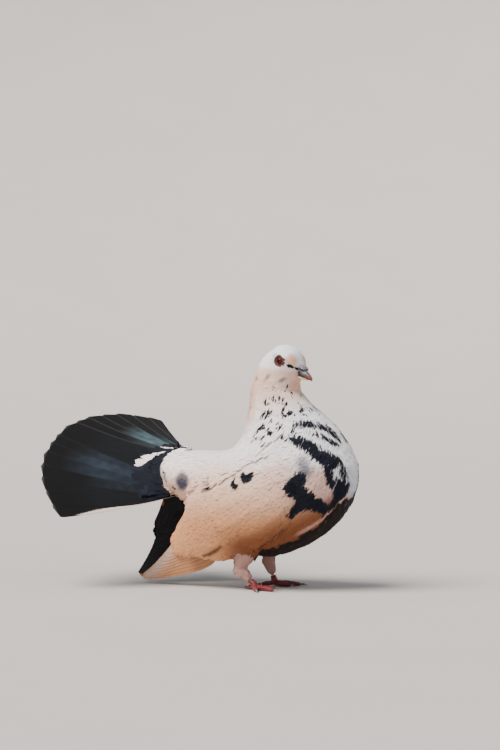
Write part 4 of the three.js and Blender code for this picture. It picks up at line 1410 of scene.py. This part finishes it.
def fan_sheet(angle, reach, away=0.0):
    """The fan's own curved surface beside one of its feathers, or a height away from it."""

    def sheet(aside):
        rows = np.broadcast_to(reach[:, None], aside.shape)
        turned = angle - aside / rows
        inner, room = np.radians(TAIL_HALF_SPREAD - TAIL_EDGE_ROOM[0]), np.radians(TAIL_EDGE_ROOM[1])
        past = np.maximum(np.abs(turned) - inner, 0.0)
        turned = np.sign(turned) * (np.minimum(np.abs(turned), inner) + room * np.tanh(past / room))
        points, ups = tail_point(turned, rows)
        return points + ups * np.broadcast_to(away, reach.shape)[:, None, None], ups

    return sheet


def tail_colour(number):
    """Blue-black vanes with a thin pale rim, a painted sheen of blue or green, strong on some, and a
    pale outer web on the outermost feather of the right side."""

    def colour(across, along, points):
        share, tone, start, end = TAIL_PAINTED_SHEEN.get(number, (0.1, TAIL_SHEEN_BLUE, 0.2, 0.7))
        painted_sheen = share * soft(along, start, start + 0.2) * soft(end - along, -0.15, 0.15)
        made = blend(TAIL_BLACK, tone, painted_sheen * (0.75 + 0.25 * ripple(points, 12.0, 82)))
        rim = soft(np.abs(across), 0.92, 0.99) * 0.025 + soft(along, 0.985, 1.0) * 0.3
        strength = np.zeros(len(across))
        if number == 0:
            strength = soft(across - 0.65 * along, -0.05, 0.2) * soft(0.85 - along, -0.1, 0.15) * 1.5
        return blend(made, TAIL_EDGE, rim), TAIL_PALE, strength

    return colour


def make_tail():
    fan = Vanes(0.2)
    middle = (TAIL_FEATHERS - 1) / 2
    for number in range(TAIL_FEATHERS):
        share = (number + 0.5) / TAIL_FEATHERS
        rng = np.random.default_rng(300 + number)
        angle = math.radians((2 * share - 1) * TAIL_HALF_SPREAD * TAIL_OUTERMOST + rng.normal(0, 0.3))
        end = TAIL_LENGTH - TAIL_OUTER_SHORTER * abs(2 * share - 1) ** 3 + rng.normal(0, 1.0)
        reach = np.linspace(TAIL_START, end, VANE_ROWS)
        spine, ups = tail_point(np.full(VANE_ROWS, angle), reach)
        outward = -1 if number < middle else 1
        sunk = 0.04 * abs(number - middle) - (0.45 if number == 7 else 0.0)

        # across runs towards the bird's right; each feather's outer web lies over the next one
        def lift(across, along, outward=outward, sunk=sunk):
            return 0.35 - sunk - TAIL_LAP * outward * across - 0.15 * across**2

        webs = TAIL_WEBS if outward < 0 else TAIL_WEBS[::-1]
        sheet = fan_sheet(angle, reach)
        fan.add(spine, ups, webs, lift, tail_colour(number), number, 3.2, 0.93, 400 + number, sheet=sheet)
    fan.piece("tail_feathers", BLACK_SLOT, ["tail"])


# Upper tail coverts, last row first: where their tips lie, and how many there are.
COVERT_ROWS = ((64.0, 10), (57.0, 11), (50.0, 10), (43.0, 9), (36.0, 8))
COVERT_FORM = (26.0, 30.0, 8.5)  # where their soft form starts and how long and high it is
COVERT_WEB = 7.4  # mm, half width
COVERT_HALF_SPREAD = 42.0  # degrees


def make_tail_coverts():
    """Short broad feathers over the roots of the fan, in rows that lap like tiles."""
    stack = Vanes(0.12)
    start, length, swell = COVERT_FORM
    part = FLESH.index("tail_coverts_upper")

    def colour(across, along, points):
        return plumage(points, np.full(len(points), part))

    def lift(across, along):
        return 0.25 * along - 0.9 * across**2 * (0.3 + along)

    number = 0
    for row, (tips, count) in enumerate(COVERT_ROWS):
        for k in range(count):
            rng = np.random.default_rng(900 + number)
            # from -1 to 1 round the fan, with every second row set off by half a feather
            turn = 2 * (k + (0.75 if row % 2 else 0.25)) / (count - 0.5) - 1
            angle = math.radians(turn * COVERT_HALF_SPREAD + rng.normal(0, 1.2))
            end = tips - 5.0 * abs(turn) ** 2 + rng.normal(0, 1.3)
            reach = np.linspace(max(18.0, end - 30.0), end, 20)
            spine, ups = tail_point(np.full(len(reach), angle), reach)
            full = max(0.05, 1 - abs(turn) ** 2.5)
            away = swell * full * (1 - np.clip((reach - start) / length, 0, 1)) ** 1.6
            away = 0.9 + 0.4 * row + away
            webs = (COVERT_WEB * rng.uniform(0.9, 1.1),) * 2
            sheet = fan_sheet(angle, reach, away)
            spine = spine + ups * away[:, None]
            stack.add(spine, ups, webs, lift, colour, number, 2.4, 0.62, 950 + number, sheet=sheet)
            number += 1
    stack.piece("tail_coverts_laid_over", BLACK_SLOT, material=COAT)


make_tail()
make_tail_coverts()


# ---------------------------------------------------------------- wings

# Guide lines of the right wing from wrist to tip: upper edge, middle of the face, lower edge.
WING_LINES = np.array(
    [
        [(113, -38, 117), (118, -43, 101), (115, -38, 85)],
        [(92, -41, 129), (103, -52, 99), (107, -43, 62)],
        [(62, -45.5, 122), (74, -55.5, 83), (84, -42, 41)],
        [(32, -44, 111), (42, -52, 69), (54, -36, 28.5)],
        [(5, -40, 97), (14, -43, 55), (25, -30, 19.5)],
        [(-8, -31, 66), (-3, -32, 38), (3, -24, 12.5)],
        [(-31, -21, 40), (-26, -22.5, 22), (-20, -18, 5.5)],
        [(-62, -12.5, 12), (-63, -13, 6), (-60, -11.5, 0.6)],
    ],
    float,
)
WING_END = len(WING_LINES) - 1
LEFT_WING_BACK = 12.0  # mm that the left wing lies further back
LEFT_WING_OPEN = 46.0  # mm that it is let out
LEFT_OPENED = np.array([1.0, 0.7, 0.25])  # share of that for each guide line
SECONDARIES_FROM, SECONDARIES_TO = 3.37, 5.75  # places along the wing that their tips span


def wing_guides(place, side):
    """The three guide points at a place along the wing, smooth through every entry."""
    i = int(min(max(math.floor(place), 0), WING_END - 1))
    a, b, c, d = (WING_LINES[min(max(k, 0), WING_END)] for k in (i - 1, i, i + 1, i + 2))
    t = place - i
    rise, fall = (c - a) / 2, (d - b) / 2
    made = ((2 * b - 2 * c + rise + fall) * t + (3 * c - 3 * b - 2 * rise - fall)) * t * t + rise * t + b
    if side > 0:
        share = place / WING_END
        out = max(0.0, math.sin(math.pi * min(1.0, max(0.0, (share - 0.2) / 0.8))))
        made = made.copy()
        made[:, 0] -= LEFT_WING_BACK * min(1.0, share * 2) + LEFT_WING_OPEN * LEFT_OPENED * out
        made[:, 1] = -made[:, 1]
    return made


def wing_face(place, across, side):
    """A point of the wing's outer face, on the curve through its three guide points there."""
    top, middle, low = wing_guides(place, side)
    ends = top * (1 - across) * (1 - 2 * across) + low * across * (2 * across - 1)
    return ends + middle * 4 * across * (1 - across)


def wing_point(place, across, depth, side):
    """A place at a depth under the wing's outer face, and the face's outward normal there."""
    tiny = 0.01
    before, after = max(place - tiny, 0), min(place + tiny, WING_END)
    on = wing_face(after, across, side) - wing_face(before, across, side)
    down = wing_face(place, across + tiny, side) - wing_face(place, across - tiny, side)
    inward = unit(np.cross(on, down))
    if inward[1] * side > 0:
        inward = -inward
    return wing_face(place, across, side) + inward * depth + PACKED, -inward


WING_INK = linear("#36373b")
WING_RIM = linear("#4a474c")
WING_SPOT = linear("#b9744a")
TIP_GREY = linear("#c2b7b0")
WING_KINDS = np.array(["wing"])


def wing_colour(side, order):
    primary = order == "primaries"
    # how strong the painted shade and light along each feather's edges are
    share = 0.28 if primary else 0.02

    def right(across, along, points):
        made = ground_of(points, np.repeat(WING_KINDS, len(points)))
        if primary:
            made = blend(made, TIP_GREY, soft(along, 0.8, 0.97) * 0.6)
        # painted shade along the edge that is tucked under the feather above
        made = blend(made, DEEP_SHADE, soft(-across, 0.82, 1.0) * share)
        if primary:
            # painted shade on the primaries just past the secondaries' free edge, which overhangs them
            made = blend(made, DEEP_SHADE, soft(0.52 - along, -0.05, 0.12) * 0.5)
        # painted light along each feather's free edge, which lies over the next one
        made = blend(made, LIT_WHITE, soft(across, 0.86, 1.0) * share * 0.7)
        return made, INK, np.zeros(len(along))

    def left(across, along, points):
        made = blend(WING_INK, WING_RIM, soft(np.abs(across), 0.9, 1.0) * 0.4)
        return made, WING_SPOT, soft(ripple(points, 15.0, 92), 0.6, 0.85)

    return right if side < 0 else left


def wing_feather(stack, side, path, depths, webs, number, order, blunt, tip_from):
    """A flight feather along a path of places on the wing, at depths under the wing's face."""
    spine, ups = [], []
    for t in np.linspace(0, 1, VANE_ROWS):
        place, across = path(t)
        point, up = wing_point(min(place, WING_END), across, depths[0] + (depths[1] - depths[0]) * t, side)
        spine.append(point)
        ups.append(up)

    # across runs down the right wing and up the left one; each lower web lies over the next
    primary = order == "primaries"
    lap = 0.34 if primary else 0.05

    def lift(across, along):
        return -lap * side * across - 0.25 * across**2

    web = webs if side < 0 else webs[::-1]
    colour = wing_colour(side, order)
    spine, ups = np.array(spine), np.array(ups)
    stack.add(spine, ups, web, lift, colour, number, blunt, tip_from, number + 500, primary)


def wing_edge(place):
    """Where the free edge of the secondaries lies across the wing, at a place along it."""
    span = SECONDARIES_TO - SECONDARIES_FROM
    return 0.98 - 0.52 * (max(0.0, place - SECONDARIES_FROM) / span) ** 1.4


def secondary_path(share):
    """Places along a secondary: share 0 for the lowest and outermost, 1 for the innermost."""
    end = 3.8 + 1.93 * min(1.0, share / 0.7)
    inner = max(0.0, (share - 0.7) / 0.3)
    tip = (end - 0.22 * inner**2, wing_edge(end) - 0.08 - 0.26 * inner)
    root = (2.1 + 0.4 * share, 0.87 - 0.74 * share)
    return lambda t: (root[0] + (tip[0] - root[0]) * t, root[1] + (tip[1] - root[1]) * t)


def primary_path(share):
    """Places along a primary: share 0 for the innermost, 1 for the outermost, at the tip."""
    root = (3.7, 0.5 + 0.38 * share)
    tip = (5.85 + 1.13 * share**0.8, 0.2 + 0.42 * share**2)
    sag = 0.13 * share
    return lambda t: (
        root[0] + (tip[0] - root[0]) * t,
        root[1] + (tip[1] - root[1]) * t + sag * 4 * t * (1 - t),
    )


# The two orders of flight feathers: how many, how deep the first lies under the wing's face and
# how much deeper the last, how much deeper their roots lie than their tips, their half widths, how
# blunt they are and where their tips begin, how high their shafts stand, and their paths.
FLIGHT_ORDERS = {
    "secondaries": (12, (2.2, -0.9), 2.0, (8.5, 7.5), (2.6, 0.88), 0.1, secondary_path),
    "primaries": (10, (3.5, 1.5), 0.6, (6.5, 4.8), (2.2, 0.8), 0.35, primary_path),
}


def make_wing(side_name):
    for order, (count, depths, sunk, webs, form, shaft, path) in FLIGHT_ORDERS.items():
        stack = Vanes(shaft)
        for number in range(count):
            share = number / (count - 1)
            depth = depths[0] + depths[1] * share
            deep = (depth + sunk, depth)
            wing_feather(stack, SIDES[side_name], path(share), deep, webs, number, order, *form)
        stack.piece(f"{order}_{side_name}", WING_SLOT[side_name], [f"wing_{side_name}_{order}"])


REAR_GAP = 2.1  # mm between the feathers that lie over the secondaries
REAR_LENGTHS = (11.0, 9.5, 8.0, 6.5)  # the longest of these that stays on the wing is used
REAR_FROM, REAR_TO = 2.9, 5.5  # places along the wing that they are rooted at
REAR_OFF = 2.6  # mm that they may reach off the wing
REAR_TRIES = 5000
REAR_SEED = 107


def rear_of_wing(side):
    """Feather roots over the secondaries, evenly apart and off their free edge."""
    rng = np.random.default_rng(REAR_SEED)
    points, normals = [], []
    for _ in range(REAR_TRIES):
        place, across = rng.uniform(REAR_FROM, REAR_TO), rng.uniform(0.02, 0.95)
        if across > wing_edge(place) - 0.06:
            continue
        point, up = wing_point(place, across, 0.6, side)
        if not points or np.linalg.norm(np.array(points) - point, axis=1).min() > REAR_GAP:
            points.append(point)
            normals.append(up)
    return np.array(points), unit(np.array(normals))


def cover_rear_of_wing(side_name):
    """The coat runs on over the secondaries, and ends where their free edge begins."""
    points, normals = rear_of_wing(SIDES[side_name])
    part = np.full(len(points), FLESH.index(f"wing_{side_name}_shoulder"))
    lie = lie_of(points, normals, part)
    tree = tree_of(lay_form.data)
    long = np.zeros(len(points))
    for i, point in enumerate(points):
        for length in REAR_LENGTHS:
            off = max(tree.find_nearest(Vector(point + lie[i] * length * k))[3] for k in (0.5, 1.0))
            if off < REAR_OFF:
                long[i] = length
                break
    fine = long > 0
    sizes = np.c_[long, even(5.0)(points), even(2.3)(points)][fine]
    roots = (points[fine], normals[fine], on_unwrap(points[fine]), part[fine])
    name, slot = f"coat_wing_rear_{side_name}", WING_SLOT[side_name]
    lay_feathers(name, slot, roots, sizes, REAR_SEED, untidy=3.0, slope=0.5, lie=lie[fine])


for side_name in SIDES:
    make_wing(side_name)
    cover_rear_of_wing(side_name)

bpy.data.objects.remove(lay_form)


# ---------------------------------------------------------------- eyes and lids

PUPIL = 1.65  # mm, radius
IRIS_EDGE = 3.45
EYE_AROUND = 48
LID_AROUND = 72
RIM = linear("#70402f")
LID_SKIN = linear("#4a221d")
LID_EDGE_SHADE = linear("#2a1413")
IRIS_OUT = linear("#3a1108")
IRIS_IN = linear("#5f230d")
PUPIL_BLACK = linear("#08070a")
EYE_DARK = linear("#3a201a")
# The bare ring round each eye, from inside out: radius, distance out from the eye's middle, and
# share of the pale inner rim.
LID_PROFILE = [
    (3.2, 1.9, 0.0),
    (3.3, 2.9, 0.2),
    (3.45, 3.65, 0.8),
    (3.65, 3.95, 0.8),
    (3.85, 3.9, 0.3),
    (4.05, 3.75, 0.0),
    (4.3, 4.1, 0.0),
    (4.6, 4.4, 0.0),
    (4.9, 4.35, 0.0),
    (5.1, 4.15, 0.0),
    (5.3, 4.2, 0.0),
    (5.6, 4.0, 0.0),
    (5.9, 3.3, 0.0),
    (6.2, 2.2, 0.0),
    (6.4, 1.0, 0.0),
]


def turned_ring(side, centre, radius, out, around, nose=0.0):
    """A ring round the eye's axis: centre in mm, radius, distance out along the axis, and how
    far it is drawn out to a point towards the bill."""
    angle = np.linspace(0, 2 * math.pi, around, endpoint=False)
    point = np.maximum(0, np.cos(angle + 0.25)) ** 6 * nose
    back = np.maximum(0, -np.cos(angle + 0.1)) ** 8 * nose * 0.4
    reach = radius + point + back
    x, z = reach * np.cos(angle), reach * np.sin(angle)
    y = np.full(around, side * out)
    c, s = math.cos(HEAD_TURN), math.sin(HEAD_TURN)
    return centre + np.c_[x * c - y * s, x * s + y * c, z]


def ring_mesh(rings, close_last):
    """Skin over rings round the eye's axis, from the outer one inwards."""
    points = np.concatenate(rings)
    around = len(rings[0])
    faces = []
    for r in range(len(rings) - 1):
        for i in range(around):
            j = (i + 1) % around
            faces.append((r * around + i, r * around + j, (r + 1) * around + j, (r + 1) * around + i))
    if close_last:
        points = np.vstack([points, rings[-1].mean(0)])
        last = (len(rings) - 1) * around
        faces += [(last + i, last + (i + 1) % around, len(points) - 1) for i in range(around)]
    mesh = bpy.data.meshes.new("rings")
    mesh.from_pydata((points * MM).tolist(), [], faces)
    face_outwards(mesh)
    return mesh


def make_eye(name):
    side = SIDES[name]
    centre, radius = eye_of(name)
    around = EYE_AROUND
    angles = np.radians(np.r_[np.linspace(112, 60, 6), np.linspace(56, 3, 22)])
    rings, radii = [], []
    for angle in angles:
        flat = radius * math.sin(angle)
        bulge = 0.35 * float(soft(IRIS_EDGE - flat, 0.0, 1.6)) if angle < 1.1 else 0.0
        rings.append(turned_ring(side, centre, flat, radius * math.cos(angle) + bulge, around))
        radii.append(flat if angle < math.pi / 2 else radius)
    mesh = ring_mesh(rings, True)
    from_axis = np.r_[np.repeat(radii, around), 0.0]
    turn = np.r_[np.tile(np.linspace(0, 2 * math.pi, around, endpoint=False), len(rings)), 0.0]
    rays = 0.5 + 0.5 * np.sin(turn * 17 + 2 * np.sin(turn * 5)) * np.sin(turn * 9 + 1)
    colour = blend(IRIS_IN, IRIS_OUT, soft(from_axis, PUPIL, IRIS_EDGE)) * (0.8 + 0.35 * rays)[:, None]
    colour = blend(colour, EYE_DARK, soft(from_axis, IRIS_EDGE - 0.35, IRIS_EDGE + 0.1))
    colour = blend(colour, PUPIL_BLACK, soft(PUPIL - from_axis, -0.15, 0.15))
    paint(mesh, colour, np.zeros(len(colour)))
    show(mesh, f"eyeball_{name}", WET, "eye", [f"eye_{name}"])


def make_lid(name):
    side = SIDES[name]
    centre, _ = eye_of(name)
    around = LID_AROUND
    angle = np.linspace(0, 2 * math.pi, around, endpoint=False)
    folds = 0.07 * np.sin(angle * 23 + 1.3 * np.sin(angle * 3)) + 0.05 * np.sin(angle * 11)
    rings, pale = [], []
    for radius, out, share in LID_PROFILE:
        ring = turned_ring(side, centre, radius, out, around, nose=1.3 * float(soft(radius, 3.8, 5.4)))
        outward = unit(ring - centre)
        weight = float(soft(radius, 4.6, 5.2))
        rings.append(ring + outward * (folds * weight)[:, None])
        pale.append(np.full(around, share))
    mesh = ring_mesh(rings, False)
    points = points_of(mesh)
    # painted shade on the ring's outer slope, where it goes down to the head
    edge_shade = soft(np.repeat([ring[0] for ring in LID_PROFILE], around), 5.2, 6.0) * 0.5
    colour = blend(LID_SKIN, LID_EDGE_SHADE, edge_shade) * (1 + 0.2 * ripple(points, 2.0, 95)[:, None])
    paint(mesh, blend(colour, RIM, np.concatenate(pale)), 0.6 * ripple(points, 1.1, 96))
    show(mesh, f"lid_{name}", BARE, "eyelid", [f"eyelid_{name}"])


for side_name in SIDES:
    make_eye(side_name)
    make_lid(side_name)


# ---------------------------------------------------------------- bill and cere

BILL_HORN = linear("#3a3d47")
BILL_DARK = linear("#15110f")
BILL_TIP = linear("#74393c")
BILL_PALE = linear("#dcbb93")
# colour of a painted highlight on the upper mandible
BILL_PAINTED_HIGHLIGHT = linear("#8d96a3")
CERE_GREY = linear("#7f757b")
NOSTRIL_AND_SHADE = linear("#2a1713")
BILL_VOXEL, CERE_VOXEL = 0.3, 0.25  # mm
BILL_CLOSING = 1.3  # mm that the tip of the lower half is lifted, to meet the upper one
BILL_FLAT = 0.8  # the bill's height against that of the bill as packed, which is a little deep
BILL_LINE = (204.0, 199.5)  # mm, the height kept as it is, at the bill's root and at its tip


def along_bill(points):
    """Share of the way from the bill's root to its tip."""
    out = points @ np.array([math.cos(HEAD_TURN), math.sin(HEAD_TURN), 0.0])
    return (out - out.min()) / (out.max() - out.min())


def slimmed(mesh, closing=0.0):
    """The bill a little less deep, drawn up towards the line of its nostrils. `closing` lifts
    the tip by so many mm more, and the root by a quarter of it."""
    points = points_of(mesh)
    share = along_bill(points)[:, None]
    kept = BILL_LINE[0] + (BILL_LINE[1] - BILL_LINE[0]) * share
    points[:, 2:] = kept + (points[:, 2:] - kept) * BILL_FLAT + closing * (0.25 + 0.75 * share)
    move_points(mesh, points)
    return mesh


def make_bill():
    mesh = slimmed(grown(merged(["bill_upper"]), BILL_VOXEL, 5))
    points, normals = points_of(mesh), normals_of(mesh)
    share = along_bill(points)
    low = soft(201.5 - points[:, 2], 0.0, 6.0)
    # a painted highlight along the middle of the mandible, on the faces that look up
    painted_highlight = np.exp(-(((share - 0.42 - 0.1 * low) / 0.13) ** 2)) * soft(normals[:, 2], -0.2, 0.6)
    colour = blend(BILL_HORN, BILL_DARK, soft(0.3 - share, -0.12, 0.2))
    for tint, strength in (
        (BILL_PAINTED_HIGHLIGHT, 0.75 * painted_highlight),
        (BILL_TIP, soft(share + 0.28 * low, 0.68, 0.84) * 0.95),
        # painted shade on the faces that look down
        (BILL_DARK, soft(-normals[:, 2], 0.1, 0.7) * 0.8),
    ):
        colour = blend(colour, tint, strength)
    paint(mesh, colour, 0.3 * np.sin(points[:, 2] * 9.0 + 2 * np.sin(share * 17.0)))
    show(mesh, "upper_mandible", HORN, "bill", ["bill_upper"])

    mesh = slimmed(grown(merged(["bill_lower"]), BILL_VOXEL, 4), BILL_CLOSING)
    points = points_of(mesh)
    colour = blend(BILL_PALE, BILL_TIP, soft(along_bill(points), 0.6, 0.95) * 0.5)
    paint(mesh, colour, 0.2 * ripple(points, 1.5, 97))
    show(mesh, "lower_mandible", HORN, "bill_pale", ["bill_lower"])

    mesh = grown(merged(["cere"]), CERE_VOXEL, 4)
    points, normals = points_of(mesh), normals_of(mesh)
    # dark where the cere faces sideways or down, more so towards its root: partly the nostril, partly
    # painted shade under its lit top
    colour = blend(CERE_GREY, NOSTRIL_AND_SHADE, soft(0.45 - normals[:, 2] - 0.5 * along_bill(points), -0.25, 0.3))
    wrinkle = ripple(points, 1.0, 98)
    paint(mesh, colour * (1 + 0.06 * wrinkle[:, None]), 0.8 * wrinkle)
    show(mesh, "cere_lobes", BARE, "cere", ["cere"])


make_bill()


# ---------------------------------------------------------------- feet

# Each leg's ankle in mm, and how many degrees outwards its foot points.
LEGS = {"right": ((63, -24.5, 7), 24), "left": ((62, 22.5, 7), 20)}
# Each toe's degrees inwards from the way its foot points, and its length in mm.
TOES = {"inner": (38, 19), "middle": (2, 25), "outer": (-36, 20), "hind": (176, 12)}
FOOT_RED = linear("#7c2b2f")
FOOT_DEEP = linear("#4a1a1d")
SCALE_PALE = linear("#96494b")
CLAW_HORN = linear("#4b4142")
CLAW_TIP = linear("#b9a99c")
SCUTE = 1.35  # mm, length of one plate of scale on a toe
TOE_HIGH = 3.0  # mm, the height of the toes' middles
FOOT_TOP = 7.5  # mm, above which the plates run up the shank
FOOT_VOXEL, CLAW_VOXEL = 0.42, 0.16  # mm


def make_foot(name):
    ankle, outwards = LEGS[name]
    mesh = grown(merged([f"foot_{name}"]), FOOT_VOXEL, 3)
    points, normals = points_of(mesh), normals_of(mesh)
    ankle = np.array(ankle, float) + PACKED
    best = np.full(len(points), 1e9)
    along = np.zeros(len(points))
    for angle, length in TOES.values():
        heading = math.radians(SIDES[name] * (outwards - angle))
        ahead = np.array([math.cos(heading), math.sin(heading), 0.0])
        reach = np.clip((points - ankle) @ ahead, 0, length)
        foot = ankle * [1, 1, 0] + ahead * reach[:, None] + [0, 0, TOE_HIGH]
        off = np.linalg.norm((points - foot), axis=1)
        closer = off < best
        along[closer], best[closer] = reach[closer], off[closer]
    high = points[:, 2] > FOOT_TOP
    along[high] = points[high, 2] * 0.9
    groove = np.abs(np.sin(along * math.pi / SCUTE)) ** 0.5
    top = soft(normals[:, 2], -0.1, 0.4)
    top[high] = 1.0
    colour = blend(FOOT_DEEP, FOOT_RED, groove)
    colour = blend(colour, SCALE_PALE, soft(groove, 0.8, 1.0) * top * 0.35)
    paint(mesh, colour, 1.6 * groove * top)
    show(mesh, f"toes_{name}", SCALY, "foot_skin", [f"foot_{name}"])
    for toe in TOES:
        node = f"claw_{name}_{toe}"
        mesh = grown(merged([node]), CLAW_VOXEL, 3)
        points = points_of(mesh)
        out = np.linalg.norm((points - ankle)[:, :2], axis=1)
        colour = blend(CLAW_HORN, CLAW_TIP, soft(out, out.min(), out.max()) * 0.6)
        paint(mesh, colour, 0.1 * ripple(points, 0.8, 99))
        show(mesh, f"nail_{name}_{toe}", HORN, "claw", [node])


for side_name in SIDES:
    make_foot(side_name)


# ---------------------------------------------------------------- stage

FLOOR_FLAT = 3.4  # m
FLOOR_RISE = (3.0, 2.0)  # m out and up, of the sweep that the floor ends in
FLOOR_SIDES = 96
FLOOR_STEPS = 16
FLOOR_TONES = ("#c3c0bc", "#bcb9b5")
SKY, SKY_STRENGTH = "#d3d7de", 0.62
# Each light's name, the way towards it, how wide it is in degrees, its strength and its colour.
LIGHTS = (
    ("key", (-0.30, -0.48, 0.80), 40.0, 6.2, "#fff6ee"),
    ("fill", (0.70, -0.45, 0.45), 60.0, 0.4, "#dfe9ff"),
)


def make_floor():
    mesh = bpy.data.meshes.new("floor")
    turns = np.linspace(0, 2 * math.pi, FLOOR_SIDES, endpoint=False)
    points, faces = [], [list(range(FLOOR_SIDES))]
    for step in range(FLOOR_STEPS + 1):
        tip = step / FLOOR_STEPS * math.pi / 2
        out = FLOOR_FLAT + FLOOR_RISE[0] * math.sin(tip)
        high = FLOOR_RISE[1] * (1 - math.cos(tip))
        points += [(out * math.cos(t), out * math.sin(t), high) for t in turns]
    for step in range(FLOOR_STEPS):
        for i in range(FLOOR_SIDES):
            a, b = step * FLOOR_SIDES + i, step * FLOOR_SIDES + (i + 1) % FLOOR_SIDES
            faces.append((a, a + FLOOR_SIDES, b + FLOOR_SIDES, b))
    mesh.from_pydata(points, [], faces)
    mesh.shade_smooth()
    floor = put("floor", mesh)
    # Matt painted board: even and pale, with a barely visible mottle.
    made, tree, shader = finish("matt board", 0.9)
    cloud = noise(tree, add(tree, "ShaderNodeTexCoord").outputs["Object"], 6.0, 4.0)
    tones = {"Factor": cloud, 6: rgba(FLOOR_TONES[0]), 7: rgba(FLOOR_TONES[1])}
    tone = add(tree, "ShaderNodeMix", tones, data_type="RGBA")
    tree.links.new(tone.outputs[2], shader.inputs["Base Color"])
    mesh.materials.append(made)


def make_lights():
    world = bpy.data.worlds.new("studio")
    world.use_nodes = True
    back = world.node_tree.nodes["Background"]
    back.inputs["Color"].default_value = rgba(SKY)
    back.inputs["Strength"].default_value = SKY_STRENGTH
    bpy.context.scene.world = world
    for name, way, angle, power, tint in LIGHTS:
        data = bpy.data.lights.new(name, "SUN")
        data.angle = math.radians(angle)
        data.energy = power
        data.color = rgba(tint)[:3]
        light = put(name, data)
        light.rotation_mode = "QUATERNION"
        light.rotation_quaternion = (-Vector(way)).to_track_quat("-Z", "Y")


make_floor()
make_lights()
